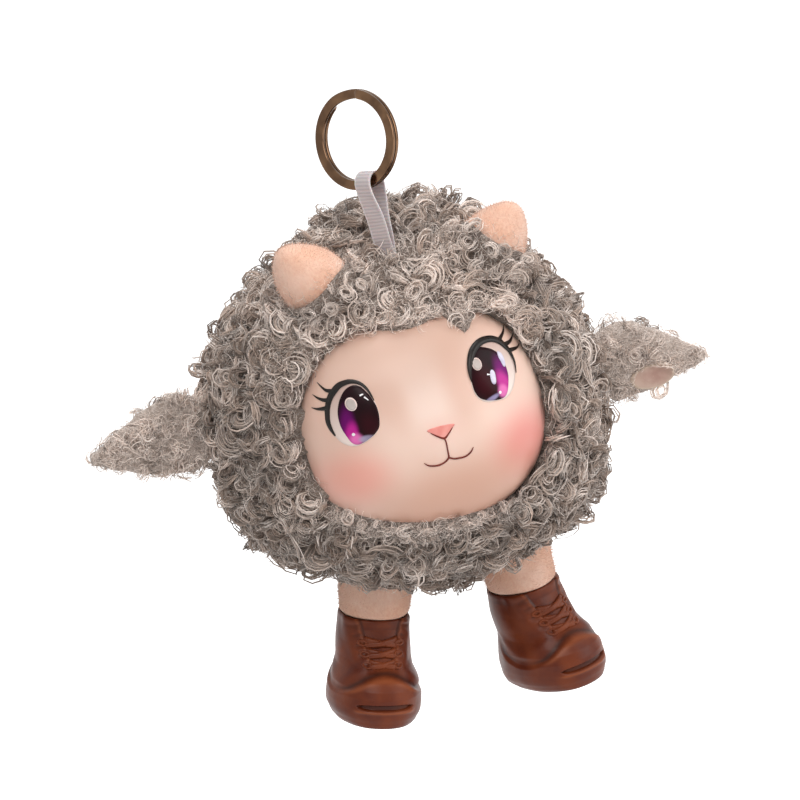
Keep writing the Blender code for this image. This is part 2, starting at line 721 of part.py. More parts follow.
def boot_sections():
    """Rings up the boot. Each share row gives height, length, width and how far the toe reaches."""
    shaft = LEG_IN_BOOT_RADIUS + GAP + BOOT_WALL
    sections = []
    for height, length, width, toe in BOOT_SECTION_SHARES:
        front = max(BOOT_TOE_REACH * toe, shaft)
        back = max(BOOT_LENGTH * length - BOOT_TOE_REACH * toe, shaft)
        back = min(back, BOOT_HEEL_REACH)
        half_width = max(BOOT_WIDTH / 2 * width, shaft)
        half_length = (front + back) / 2
        middle = (back - front) / 2
        ring = oval(half_width, half_length, BOOT_FULLNESS, LOFT_STEPS)
        sections.append([(x, middle + y, BOOT_HEIGHT * height) for x, y in ring])
    return sections


def make_boot(label, side, length, toe_out, carrier):
    turn = Matrix.Rotation(side * toe_out, 4, "Z")
    sole = Matrix.Translation((0, 0, -length)) @ turn
    boot = mesh_object(f"boot_{label}", loft(boot_sections()), "boot vinyl", parent=carrier)
    boot.matrix_local = sole
    room = LEG_IN_BOOT_RADIUS + GAP
    mouth = [(0, OVERRUN), (room, OVERRUN), (room, -LEG_IN_BOOT - GAP), (0, -LEG_IN_BOOT - GAP)]
    well = turned(f"boot mouth {label}", mouth, None, parent=carrier)
    well.matrix_local = Matrix.Translation((0, 0, BOOT_HEIGHT - length))
    cut(boot, well)
    bm = bmesh.new()
    bmesh.ops.create_cube(bm, size=1)
    for vertex in bm.verts:
        vertex.co.x *= BOOT_SLOT_WIDTH
        vertex.co.y *= BOOT_SLOT_DEPTH + OVERRUN
        vertex.co.z *= BOOT_SLOT_HEIGHT
    slot = mesh_object(f"toe slot {label}", bm, None, parent=carrier, smooth=False)
    front = -BOOT_TOE_REACH * BOOT_SLOT_FRONT_SHARE + BOOT_SLOT_DEPTH - (BOOT_SLOT_DEPTH + OVERRUN) / 2
    slot.matrix_local = sole @ Matrix.Translation((0, front, BOOT_SLOT_RISE + BOOT_SLOT_HEIGHT / 2))
    cut(boot, slot)



def make_leg(label, side, hip_side, hip_drop, length, splay, toe_out, soft_bodies):
    """One leg: its plush cover, its stuffing, its boot and the room that it swings in."""
    hip = BALL @ Matrix.Translation((hip_side, -HIP_FORWARD, -hip_drop))
    carrier = frame(f"hip {label}", hip @ Matrix.Rotation(-side * splay, 4, "Y"))
    turned(f"leg_{label}", leg_profile(0, length), "pink plush", parent=carrier, wall=LEG_CLOTH)
    filling = leg_profile(-LEG_CLOTH - GAP, length)
    filling.append((0, filling[-1][1]))
    turned(f"leg_{label}_stuffing", filling, "fibre", parent=carrier)
    room = leg_room(f"leg room {label}", carrier)
    for body in soft_bodies:
        cut(body, room)
    make_boot(label, side, length, toe_out, carrier)


def main():
    make_key_ring()
    ring_seat = frame("ring seat", Matrix.Translation(BAND_SEAT) @ YAW)
    make_ribbon_loop(ring_seat)
    slot = make_ribbon_tab()

    spacing = Vector((GAP, GAP, GAP))
    fur = ball("fur_body", BALL_HALVES, BALL_STEPS, "grey fur")
    cut(fur, ball("backing", BACKING_HALVES, INNER_BALL_STEPS))
    cut(fur, make_face_opening("face opening", True))
    cut(fur, slot)
    stuffing = ball("body_stuffing", BACKING_HALVES - spacing, INNER_BALL_STEPS, "fibre")
    cut(stuffing, make_face_opening("stuffing opening", False))
    cut(stuffing, make_face_filling(), "UNION")

    mask = make_face_mask()
    make_eye("left", -1, mask)
    make_eye("right", 1, mask)

    seat = ball("horn seat", BACKING_HALVES, INNER_BALL_STEPS)
    for label, gap in (("left", HORN_FACE_GAP_LEFT), ("right", HORN_FACE_GAP_RIGHT)):
        cut(fur, make_horn(label, HORN_SEAT_SHARES[label], gap, seat))

    make_ear("left", -1, EAR_RISE_LEFT, 0.0, 1, fur)
    make_ear("right", 1, EAR_RISE_RIGHT, EAR_DROOP_RIGHT, -1, fur)

    soft = (fur, stuffing)
    left = (HIP_SIDE_LEFT, HIP_DROP_LEFT, LEG_LENGTH_LEFT, LEG_SPLAY_LEFT, BOOT_TOE_OUT_LEFT)
    right = (HIP_SIDE_RIGHT, HIP_DROP_RIGHT, LEG_LENGTH_RIGHT, LEG_SPLAY_RIGHT, BOOT_TOE_OUT_RIGHT)
    make_leg("left", -1, *left, soft)
    make_leg("right", 1, *right, soft)


main()
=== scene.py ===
import json
import math

import bmesh
import bpy
import numpy as np
from mathutils import Matrix, Vector, noise

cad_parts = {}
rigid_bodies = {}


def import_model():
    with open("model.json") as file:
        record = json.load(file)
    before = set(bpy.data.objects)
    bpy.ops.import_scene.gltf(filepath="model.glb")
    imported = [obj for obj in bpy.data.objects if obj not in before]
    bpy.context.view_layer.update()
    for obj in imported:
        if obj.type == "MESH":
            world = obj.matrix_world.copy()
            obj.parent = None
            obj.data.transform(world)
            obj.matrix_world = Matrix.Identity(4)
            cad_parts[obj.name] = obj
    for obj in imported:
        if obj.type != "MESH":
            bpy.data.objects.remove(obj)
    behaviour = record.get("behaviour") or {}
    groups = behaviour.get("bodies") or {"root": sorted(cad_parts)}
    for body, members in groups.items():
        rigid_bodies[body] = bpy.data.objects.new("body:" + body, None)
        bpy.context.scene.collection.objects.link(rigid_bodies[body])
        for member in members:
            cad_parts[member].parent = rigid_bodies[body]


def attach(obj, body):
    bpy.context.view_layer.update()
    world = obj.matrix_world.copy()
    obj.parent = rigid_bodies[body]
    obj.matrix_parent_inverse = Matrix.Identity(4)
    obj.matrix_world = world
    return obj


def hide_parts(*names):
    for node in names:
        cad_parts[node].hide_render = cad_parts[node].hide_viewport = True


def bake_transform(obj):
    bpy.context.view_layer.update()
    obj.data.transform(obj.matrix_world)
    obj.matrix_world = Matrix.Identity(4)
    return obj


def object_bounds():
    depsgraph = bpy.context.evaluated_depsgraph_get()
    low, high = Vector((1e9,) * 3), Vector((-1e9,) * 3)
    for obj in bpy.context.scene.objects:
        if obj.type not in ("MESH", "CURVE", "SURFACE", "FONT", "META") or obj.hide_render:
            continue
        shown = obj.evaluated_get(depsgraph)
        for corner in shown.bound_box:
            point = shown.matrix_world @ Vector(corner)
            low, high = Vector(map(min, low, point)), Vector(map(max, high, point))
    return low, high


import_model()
CAD_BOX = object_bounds()

bl_info = {
    "name": "Plush sheep key charm",
    "version": (1, 0, 0),
    "blender": (4, 5, 0),
    "location": "View3D > Sidebar > Sheep",
    "description": "Dresses the plush sheep in curls, painted vinyl, short plush, ribbon and steel",
    "category": "Object",
}

MM = 0.001

# Ring and ribbon
RING_RADIUS = 12.5
RING_BAND = 2.4
RING_THICKNESS = 1.0
RING_SPACING = 1.25
BAND_RADIUS = RING_RADIUS - RING_BAND / 2
RING_INNER = RING_RADIUS - RING_BAND
YAW = Matrix.Rotation(math.radians(-50), 4, "Z")
HANGER = YAW @ Matrix.Rotation(math.radians(-15), 4, "X")
BAND_SEAT = Vector((-0.002154, -0.005873, -0.020248))
PIVOT = Vector((-0.002154, -0.005873, -0.034448))
RIBBON_LENGTH = 14.2
RIBBON_HIDDEN = 9.0
RIBBON_THICKNESS = 0.4
RIBBON_SOLID_HALF = 2.0
RIBBON_SEAT_TURN = math.radians(16)
STRAND_GAP = 0.9
RIBBON_HALF = 2.4
RIBBON_TWIST = math.radians(16)

# Ball
BALL_CENTRE = Vector((-0.003754, 0.014327, -0.08318))
BALL = Matrix.Translation(BALL_CENTRE)
BALL_HALVES = Vector((52.0, 47.0, 52.5))
BACKING_HALVES = BALL_HALVES - Vector((8.5, 8.5, 8.5))
TOP_FULLNESS = 2.05
BOTTOM_FULLNESS = 2.4
SWELLS = (
    ((-0.534, -0.172, -0.828), -0.13, 0.30),
    ((-0.081, -0.284, -0.955), -0.035, 0.25),
    ((-0.958, 0.065, -0.279), 0.06, 0.25),
    ((-0.913, 0.246, 0.327), 0.04, 0.22),
    ((-0.344, 0.327, 0.880), -0.05, 0.28),
    ((0.381, 0.219, 0.899), 0.06, 0.25),
    ((0.862, 0.021, 0.507), -0.045, 0.30),
)

# Face, in the face's own frame: x across, z up, the skin at minus y
FACE = (
    BALL
    @ Matrix.Translation((-0.0015, -0.027, 0.003))
    @ Matrix.Rotation(math.radians(-8.5), 4, "X")
    @ Matrix.Rotation(math.radians(-2.5), 4, "Y")
)
FACE_HALF_WIDTH = 31.2
FACE_HALF_HEIGHT = 28.5
FACE_BULGE = 22.0
FACE_FULLNESS = 2.3
BULGE_FULLNESS = 2.25
PRINT_SPAN = 70.0
BARE_FACE = (
    (-30.5, 13.1), (-28.0, 17.4), (-24.3, 21.5), (-19.5, 25.1), (-15.8, 26.3), (-12.1, 27.0), (-6.8, 25.8),
    (-1.3, 24.1), (2.3, 23.5), (6.4, 23.5), (10.7, 25.1), (12.0, 22.2), (14.8, 18.1), (18.7, 20.6),
    (22.7, 23.0), (25.7, 21.9), (28.4, 19.1), (29.8, 13.9), (30.6, 6.2), (31.0, -2.2), (30.3, -9.8),
    (28.0, -16.8), (23.7, -22.5), (18.6, -25.6), (11.3, -24.7), (2.9, -24.5), (-4.9, -23.2), (-12.4, -21.1),
    (-19.7, -18.0), (-26.2, -13.4), (-30.8, -7.9), (-32.9, -2.3), (-33.0, 3.8), (-32.0, 9.2),
)
PHOTO_LOOK = Vector((0.1496, 0.9446, -0.2924))
COLLAR_AIM = {"left": (-0.1, -0.6, -0.8), "right": (-0.75, -0.6, -0.55)}
COLLAR_HEIGHTS = {"left": (4.6, 4.2), "right": (6.2, 6.2)}

EYES = {
    "left": {
        "centre": (-18.1, 9.4), "halves": (6.1, 8.0), "turn": -5.0,
        "white": (
            (-15.8, 17.1), (-14.1, 16.4), (-12.9, 14.4), (-12.2, 11.4), (-12.1, 8.7), (-12.4, 6.4), (-13.2, 4.5),
            (-14.4, 3.2), (-16.2, 2.3), (-18.2, 1.7), (-19.8, 1.5), (-21.4, 2.1), (-22.8, 3.4), (-23.7, 5.3),
            (-24.3, 7.3), (-24.2, 9.4), (-23.7, 11.5), (-22.6, 13.7), (-20.9, 15.8), (-18.7, 17.0),
        ),
        "iris": (
            (-15.6, 15.8), (-14.2, 15.0), (-13.2, 13.2), (-12.6, 11.4), (-12.2, 9.1), (-12.5, 6.5), (-13.3, 4.4),
            (-14.7, 3.2), (-16.5, 2.4), (-18.1, 1.9), (-19.4, 1.8), (-20.5, 2.6), (-21.2, 4.5), (-21.7, 6.6),
            (-21.7, 8.7), (-21.3, 10.7), (-20.4, 12.6), (-19.1, 14.3), (-17.5, 15.5),
        ),
        "lid": (
            (-23.6, 5.2, 0.3), (-24.0, 6.9, 0.75), (-24.1, 8.7, 0.95), (-23.7, 10.5, 1.0), (-23.0, 12.4, 1.05),
            (-21.8, 14.3, 1.2), (-20.4, 15.6, 1.3), (-18.8, 16.6, 1.25), (-16.9, 16.9, 1.1), (-15.6, 16.7, 0.95),
            (-14.4, 16.1, 0.85), (-13.5, 15.1, 0.75), (-12.9, 13.8, 0.6), (-12.5, 12.2, 0.4), (-12.3, 11.0, 0.15),
        ),
        "lashes": (
            ((-20.9, 15.7, 1.1), (-21.9, 16.2, 0.75), (-22.5, 17.1, 0.45), (-23.0, 18.3, 0.1)),
            ((-22.2, 13.8, 1.1), (-23.4, 14.2, 0.8), (-24.3, 14.9, 0.5), (-25.0, 15.8, 0.1)),
            ((-23.1, 12.1, 1.1), (-24.4, 12.2, 0.8), (-25.4, 12.4, 0.5), (-26.3, 12.9, 0.1)),
        ),
        "glint": (-17.8, 11.7, 1.35, 1.65),
        "bead": (-19.6, 4.5, 0.38),
        "dashes": (((-15.2, 13.1, 0.4), (-14.3, 13.2, 0.3)), ((-14.3, 12.5, 0.4), (-13.6, 11.5, 0.25))),
        "reflections": (),
    },
    "right": {
        "centre": (18.1, 8.2), "halves": (6.3, 7.7), "turn": 8.0,
        "white": (
            (20.8, 14.9), (22.4, 13.6), (23.7, 11.8), (24.3, 9.5), (24.3, 7.1), (23.7, 5.0), (22.3, 2.7),
            (20.6, 1.2), (18.9, 0.6), (17.5, 0.8), (16.0, 1.0), (14.4, 1.4), (12.9, 2.4), (11.9, 4.0),
            (11.6, 6.0), (11.8, 8.0), (12.2, 10.0), (13.1, 12.2), (14.5, 14.2), (16.5, 15.4), (18.6, 15.6),
        ),
        "iris": (
            (17.7, 14.3), (19.7, 13.1), (21.0, 11.6), (21.7, 9.7), (21.9, 7.7), (21.7, 5.6), (20.9, 3.5),
            (20.0, 1.9), (19.0, 1.1), (17.5, 1.0), (15.6, 1.4), (13.9, 2.1), (12.5, 3.3), (11.9, 5.0),
            (11.9, 6.9), (12.2, 8.7), (12.7, 10.7), (13.6, 12.7), (14.9, 14.1), (16.4, 14.6),
        ),
        "lid": (
            (11.9, 7.6, 0.2), (12.3, 9.9, 0.8), (13.1, 11.8, 1.35), (14.5, 13.8, 1.75), (16.1, 15.0, 1.8),
            (18.1, 15.6, 1.65), (20.1, 15.4, 1.5), (21.6, 14.8, 1.45), (22.9, 13.7, 1.4), (23.7, 12.4, 1.25),
            (24.4, 11.0, 1.0), (24.7, 9.5, 0.75), (24.8, 8.0, 0.55), (24.6, 6.7, 0.35), (24.2, 5.2, 0.1),
        ),
        "lashes": (
            ((22.7, 14.0, 1.1), (24.2, 14.7, 0.75), (25.4, 15.4, 0.45), (26.3, 16.2, 0.1)),
            ((23.7, 12.5, 1.2), (25.5, 12.5, 0.8), (26.8, 12.9, 0.5), (27.9, 13.4, 0.1)),
            ((24.4, 10.8, 1.1), (26.2, 10.5, 0.75), (27.3, 10.4, 0.45), (28.5, 10.7, 0.1)),
        ),
        "glint": (14.7, 11.1, 1.25, 1.55),
        "bead": (18.1, 2.6, 0.38),
        "dashes": (((16.3, 7.9, 0.45), (17.0, 7.6, 0.2)),),
        # Painted reflections: lilac patches on the right eye's glossy dome.
        "reflections": (
            ((21.1, 11.9), (21.9, 11.3), (22.2, 9.8), (21.9, 8.1), (21.3, 8.0), (21.0, 9.3), (20.8, 10.8)),
            ((17.4, 8.3), (18.1, 8.4), (18.4, 7.3), (17.9, 5.3), (17.2, 5.0), (16.8, 5.7), (16.9, 7.0)),
        ),
    },
}
NOSE = (
    (-2.65, 0.05), (-0.6, 0.25), (2.0, 0.0), (4.35, -0.55), (3.3, -1.4), (2.0, -2.3), (0.85, -2.85), (-0.3, -2.1),
    (-1.6, -1.0),
)
NOSE_LINE = (
    (-2.0, -0.8, 0.1), (-0.9, -1.8, 0.3), (0.2, -2.7, 0.42), (0.9, -3.0, 0.5), (1.6, -2.7, 0.42), (2.7, -1.9, 0.3),
    (3.7, -1.1, 0.1),
)
MOUTH = (
    ((0.88, -2.9, 0.4), (0.95, -4.2, 0.34), (0.83, -5.3, 0.34), (0.7, -6.6, 0.36), (0.55, -8.0, 0.45)),
    (
        (0.55, -8.0, 0.45), (-0.7, -8.75, 0.42), (-2.3, -9.0, 0.42), (-3.8, -8.72, 0.4), (-4.9, -8.2, 0.36),
        (-5.7, -7.3, 0.12),
    ),
    (
        (0.55, -8.0, 0.45), (1.7, -8.7, 0.4), (2.95, -9.0, 0.42), (4.0, -9.15, 0.42), (5.1, -9.05, 0.4),
        (6.3, -8.5, 0.36), (7.15, -7.6, 0.12),
    ),
)

# Horns, ears, legs and boots
HORN_RADIUS = 8.9
HORN_LENGTH = 21.5
HORN_SHARES = (
    (-0.16, 0.78), (0.0, 0.82), (0.18, 0.95), (0.36, 1.0), (0.54, 0.92), (0.70, 0.77), (0.83, 0.58), (0.93, 0.37),
    (0.985, 0.18), (1.0, 0.0),
)
HORNS = {
    "left": ((-0.313, -0.509, 0.8114), (-0.53, -0.22, 0.82)),
    "right": ((0.508, -0.466, 0.7257), (0.60, -0.30, 0.74)),
}
EAR_LENGTH = 33.0
EAR_HALF_HEIGHT = 11.8
EAR_THICKNESS = (5.4, 3.0)
EAR_ROOT = 5.4
EAR_HINGE = (49.8, 1.0)
EAR_SHARES = (
    (0.10, 0.80), (0.18, 0.97), (0.27, 1.0), (0.42, 0.90), (0.60, 0.70), (0.78, 0.46), (0.92, 0.25), (1.0, 0.10),
)
HANGING_CURL = (21.5, -0.8, -6.6)
LINING_MIDDLE = (17.2, -4.5)
LINING_HALVES = (6.1, 3.2)
LINING_TILT = math.radians(12)
EARS = {"left": (-1, 8.6, 0.0, 1), "right": (1, -4.5, 13.0, -1)}
LEG_RADIUS = 9.7
BOOT_HEIGHT = 25.5
BOOT_TOE = 20.5
BOOT_HEEL = 11.0
BOOT_WIDTH = 23.2
BOOT_SHAFT = 9.1
BOOT_FULLNESS = 2.15
BOOT_SHARES = (
    (0.0, 0.935, 0.90, 0.975), (0.03, 0.975, 0.96, 0.99), (0.09, 1.0, 0.995, 1.0), (0.20, 1.0, 1.0, 1.0),
    (0.30, 0.985, 0.985, 0.99), (0.38, 0.95, 0.95, 0.955), (0.45, 0.895, 0.895, 0.885), (0.52, 0.82, 0.85, 0.785),
    (0.60, 0.745, 0.835, 0.66), (0.76, 0.66, 0.83, 0.52), (0.90, 0.63, 0.83, 0.47), (1.0, 0.625, 0.83, 0.46),
)
LEGS = {
    "left": {"side": -1, "hip": (-18.6, -5.0, -40.0), "length": 36.8, "splay": 17.0, "toe_out": 0.0},
    "right": {"side": 1, "hip": (18.0, -5.0, -42.0), "length": 38.8, "splay": 0.0, "toe_out": 25.0},
}
LEG_CURLS_CLEAR = 0.4

# Pile, paint and stage
PILE_RISE = 3.6
SEAT_RISE = 0.4
PILE_TUFTS = (
    ((-0.094, 0.308, 0.947), 0.013, 3.0),
    ((-0.616, 0.321, 0.720), 0.045, -2.0),
    ((0.668, -0.315, -0.675), 0.045, 2.6),
    ((-0.107, -0.278, -0.951), 0.012, 3.4),
    ((-0.948, 0.053, -0.315), 0.020, -1.4),
)
MAT_RISE = 1.4
MAT_LIFT = 0.9
# Painted light: the fur of the brow, the fringe and the horns' collars is made lighter, as if lit from above.
BROW_PAINTED_LIGHT = 0.31
EAR_LIGHT = 0.34
FRIZZ_LIGHT = 0.05
VEIL_REACH = 3.6
NAP_RADIUS = 0.00005
CLOTH_FRAMES = 12
PAINT_DEPTH = 0.35
STROKE_DEPTH = 0.3
FLOOR_HALF = 6.0
ROOM_LIGHT = 0.35
# Each lamp's name, place, size, power and colour
LIGHTS = (
    ("key light", (-0.15, -0.75, 0.85), 0.8, 7.2, (1.0, 0.97, 0.94)),
    ("fill light", (0.85, -0.45, 0.25), 0.8, 4.3, (1.0, 0.98, 0.97)),
    ("top light", (0.1, 0.25, 0.85), 0.6, 3.5, (0.97, 0.98, 1.0)),
)
# The camera's turn round the toy, its rise and its roll in degrees, and what it sees at the ball
CAMERA_TURNS = (9, 17, 14)
CAMERA_DISTANCE = 0.9
FRAME_WIDTH = 0.2064


def plain(colour):
    """A colour as a screen shows it, in the linear values that shaders use."""
    return tuple(c / 12.92 if c <= 0.04045 else ((c + 0.055) / 1.055) ** 2.4 for c in colour)


def tone(code):
    return plain(tuple(int(code[i : i + 2], 16) / 255 for i in (1, 3, 5)))


# What a user would change


def length_value(name, text, default, low, high):
    return bpy.props.FloatProperty(
        name=name, description=text, default=default, min=low, max=high, unit="LENGTH", subtype="DISTANCE", precision=5
    )


def colour_value(name, text, code):
    return bpy.props.FloatVectorProperty(
        name=name, description=text, default=tone(code), size=3, min=0.0, max=1.0, subtype="COLOR"
    )


class SheepSizes(bpy.types.PropertyGroup):
    curl_spacing: length_value("Lock spacing", "Distance between the roots of two locks", 0.0031, 0.002, 0.01)
    curl_radius: length_value("Curl radius", "Radius of the ring that a lock curls into", 0.0036, 0.001, 0.006)
    strand_radius: length_value("Strand radius", "Radius of one strand of the curly pile", 0.00014, 0.00005, 0.0005)
    locks_of: bpy.props.IntProperty(
        name="Strands in a lock", description="Strands that run side by side in one lock", default=10, min=1, max=14
    )
    frizz_spacing: length_value("Frizz spacing", "Distance between the fine loose hairs", 0.00106, 0.001, 0.01)
    nap_spacing: length_value("Nap spacing", "Distance between the short hairs of the plush", 0.00055, 0.0003, 0.003)
    rib_spacing: length_value("Ribbon ribs", "Distance between the cross ribs of the ribbon", 0.0009, 0.0003, 0.003)
    floor_drop: length_value("Floor drop", "How far the floor lies under the boots", 0.07, 0.02, 0.3)


class SheepColours(bpy.types.PropertyGroup):
    # Painted shade: the dark root colour stands in for the shade deep between the curls.
    fur_root_shade: colour_value("Fur roots", "Colour of the pile deep between the curls", "#604f46")
    fur_middle: colour_value("Fur", "Colour of the pile", "#c5b0a2")
    fur_tip: colour_value("Fur tips", "Colour of the outer side of the curls", "#f4e8e0")
    skin: colour_value("Face vinyl", "Colour of the moulded face", "#f1d3c4")
    blush: colour_value("Blush", "Colour of the cheeks", "#e9857f")
    plush: colour_value("Pink plush", "Colour of the horns and legs", "#f1c8af")
    boot: colour_value("Boot vinyl", "Colour of the boots", "#531c08")
    ribbon: colour_value("Ribbon", "Colour of the satin ribbon", "#d2c9c9")
    # Painted reflection: the ring's brown tint stands for the brownish surroundings it reflects.
    steel: colour_value("Steel", "Colour of the ring", "#5d4737")


def sizes():
    return bpy.context.scene.sheep_sizes


def colours():
    return bpy.context.scene.sheep_colours


# Forms


def smooth(share):
    share = np.clip(share, 0.0, 1.0)
    return share * share * (3 - 2 * share)


def plump_many(u, halves):
    """Points of the swollen ball along many directions, in millimetres from its centre."""
    u = u / np.linalg.norm(u, axis=1)[:, None]
    share = smooth((u[:, 2] + 1) / 2)
    n = BOTTOM_FULLNESS + (TOP_FULLNESS - BOTTOM_FULLNESS) * share
    reach = (np.abs(u) ** n[:, None]).sum(1) ** (-1 / n)
    swell = np.ones(len(u))
    for middle, height, width in SWELLS:
        m = np.array(middle) / np.linalg.norm(middle)
        swell += height * np.exp(2 * (u @ m - 1) / width**2)
    return u * np.array(halves) * (reach * swell)[:, None]


def pile_rise(u):
    """How far over the backing the pile's roots stand, along many directions. It's lower round the legs."""
    rise = PILE_RISE + (SEAT_RISE - PILE_RISE) * smooth((-0.45 - u[:, 2]) / 0.35)
    for direction, spread, more in PILE_TUFTS:
        rise = rise + more * np.exp((u @ np.array(direction) - 1) / spread)
    return rise


def plump(direction, halves):
    return Vector(plump_many(np.array([direction], float), halves)[0])


def hills(x, z, place_x, place_z, width):
    return np.exp(-((x - place_x) ** 2 + (z - place_z) ** 2) / width**2)


def face_front(x, z):
    """How far the skin stands in front of the face's rim, for arrays in millimetres."""
    x = np.asarray(x, float)
    z = np.asarray(z, float)
    n = FACE_FULLNESS
    edge = ((np.abs(x) / FACE_HALF_WIDTH) ** n + (np.abs(z) / FACE_HALF_HEIGHT) ** n) ** (1 / n)
    edge = np.minimum(edge, 1.0)
    dome = FACE_BULGE * (1 - edge**BULGE_FULLNESS) ** (1 / BULGE_FULLNESS)
    soft = 0.9 * hills(x, z, 0, -0.22 * FACE_HALF_HEIGHT, 8.0)
    for side in (-1, 1):
        soft = soft + 1.2 * hills(x, z, side * 0.53 * FACE_HALF_WIDTH, -0.40 * FACE_HALF_HEIGHT, 11.0)
        soft = soft - 0.9 * hills(x, z, side * 19.0, 9.3, 9.0)
    return dome + soft * (1 - edge * edge)


def eye_bump(x, z):
    """How far the domed eyes stand over the skin."""
    x = np.asarray(x, float)
    z = np.asarray(z, float)
    bump = np.zeros(np.broadcast(x, z).shape)
    for eye in EYES.values():
        turn = math.radians(eye["turn"])
        across = (x - eye["centre"][0]) * math.cos(turn) + (z - eye["centre"][1]) * math.sin(turn)
        up = (z - eye["centre"][1]) * math.cos(turn) - (x - eye["centre"][0]) * math.sin(turn)
        reach = (across / eye["halves"][0]) ** 2 + (up / eye["halves"][1]) ** 2
        bump += 0.8 * np.clip(1 - reach, 0, 1) ** 0.6
    return bump


def skin_points(x, z, lift):
    y = -(face_front(x, z) + eye_bump(x, z) + lift)
    return set_at(np.stack([np.asarray(x, float), y, np.asarray(z, float)], 1), FACE)


def place_many(points, matrix):
    m = np.array(matrix)
    return points @ m[:3, :3].T + m[:3, 3]


def set_at(points, place):
    """Points in millimetres of a place's own frame, as metres of the whole toy."""
    return place_many(np.asarray(points, float) * MM, place)


def seen_from(points, place):
    """Points of the whole toy in millimetres of a place's own frame."""
    return place_many(points, place.inverted()) / MM


def round_curve(points, count, closed):
    """A smooth line through control rows, resampled evenly by row."""
    rows = np.array(points, float)
    n = len(rows)
    spans = n if closed else n - 1
    result = []
    for i in range(count if closed else count + 1):
        place = spans * i / count
        k = min(int(place), spans - 1)
        t = place - k
        if closed:
            a, b, c, d = (rows[(k + j) % n] for j in (-1, 0, 1, 2))
        else:
            a, b, c, d = (rows[min(max(k + j, 0), n - 1)] for j in (-1, 0, 1, 2))
        square, cube = 2 * a - 5 * b + 4 * c - d, 3 * b - a - 3 * c + d
        result.append(0.5 * (2 * b + (c - a) * t + square * t**2 + cube * t**3))
    return np.array(result)


def read_table(rows, place):
    """The values of a table's other columns at a place in its first one."""
    table = np.array(rows, float).T
    return [np.interp(place, table[0], column) for column in table[1:]]


def ease(value):
    return float(smooth(value))


def bell(value):
    return math.exp(-value * value)


# Meshes


def mesh_from(verts, faces, smooth_faces=True):
    """A mesh from an array of points and faces of one or several counts."""
    counts = np.fromiter((len(f) for f in faces), np.int32, len(faces))
    loops = np.fromiter((v for f in faces for v in f), np.int32, int(counts.sum()))
    return fill_mesh(np.asarray(verts, float), loops, counts, smooth_faces)


def fill_mesh(verts, loops, counts, smooth_faces=True):
    """A mesh from arrays of points, of the corners' point numbers and of corners a face."""
    mesh = bpy.data.meshes.new("mesh")
    mesh.vertices.add(len(verts))
    mesh.vertices.foreach_set("co", verts.astype(np.float32).ravel())
    mesh.loops.add(len(loops))
    mesh.loops.foreach_set("vertex_index", loops.astype(np.int32))
    mesh.polygons.add(len(counts))
    starts = np.concatenate([[0], np.cumsum(counts)[:-1]]).astype(np.int32)
    mesh.polygons.foreach_set("loop_start", starts)
    mesh.update(calc_edges=True)
    mesh.polygons.foreach_set("use_smooth", np.full(len(counts), smooth_faces))
    mesh.validate()
    return mesh


def read(items, label, width=1, kind=np.float32):
    """One property of many points, corners or faces as an array."""
    values = np.zeros(len(items) * width, kind)
    items.foreach_get(label, values)
    return values.reshape(-1, width) if width > 1 else values


def mark(mesh, label, values):
    """Stores a value for each point of a mesh."""
    made = mesh.attributes.new(label, "FLOAT", "POINT")
    made.data.foreach_set("value", np.asarray(values, np.float32).ravel())


def lay_map(mesh, label, uv):
    layer = mesh.uv_layers.new(name=label)
    layer.data.foreach_set("uv", uv.astype(np.float32).ravel())


def new_piece(name, mesh, body, look, slot_name, *stands_for):
    mesh.name = name
    mesh.materials.clear()
    mesh.materials.append(finish(look))
    obj = bpy.data.objects.new(name, mesh)
    bpy.context.scene.collection.objects.link(obj)
    if body:
        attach(obj, body)
    if stands_for:
        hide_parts(*stands_for)
    return obj


def edit_mesh(mesh, change):
    """Runs a change on a mesh's bmesh and puts the result back."""
    bm = bmesh.new()
    bm.from_mesh(mesh)
    change(bm)
    bm.to_mesh(mesh)
    bm.free()
    return mesh


def face_outwards(mesh, merge=True):
    """Turns the faces of a closed mesh outwards, once its double points are merged."""

    def change(bm):
        if merge:
            bmesh.ops.remove_doubles(bm, verts=bm.verts, dist=1e-7)
        bmesh.ops.recalc_face_normals(bm, faces=bm.faces)

    return edit_mesh(mesh, change)


def loft_faces(rings, count, closed_ends=True):
    """Faces between rings of count points each; the ends close on a fan or a flat face."""
    faces = []
    for r in range(rings - 1):
        for i in range(count):
            j = (i + 1) % count
            faces.append((r * count + i, r * count + j, (r + 1) * count + j, (r + 1) * count + i))
    if closed_ends:
        faces.append(tuple(reversed(range(count))))
        faces.append(tuple(range((rings - 1) * count, rings * count)))
    return faces


def lofted(rings):
    """A closed skin over rings of points, with each end drawn in to a point."""
    rings = [np.asarray(r, float) for r in rings]
    count = len(rings[0])
    verts = np.concatenate(rings + [rings[0].mean(0)[None], rings[-1].mean(0)[None]])
    faces = loft_faces(len(rings), count, False)
    first = len(rings) * count
    last = first + 1
    base = (len(rings) - 1) * count
    for i in range(count):
        j = (i + 1) % count
        faces.append((first, j, i))
        faces.append((last, base + i, base + j))
    return face_outwards(mesh_from(verts, faces))


def oval_ring(half_a, half_b, fullness, count):
    turn = np.linspace(0, 2 * math.pi, count, endpoint=False)
    c, s = np.cos(turn), np.sin(turn)
    reach = (np.abs(c) ** fullness + np.abs(s) ** fullness) ** (-1 / fullness)
    return np.stack([half_a * c * reach, half_b * s * reach], 1)


def print_map(mesh):
    """A flat map of the face's x and z, so that paint stays on the skin."""
    local = seen_from(read(mesh.vertices, "co", 3).astype(float), FACE)
    loops = read(mesh.loops, "vertex_index", kind=np.int32)
    lay_map(mesh, "print", 0.5 + local[loops][:, (0, 2)] / PRINT_SPAN)
    return mesh


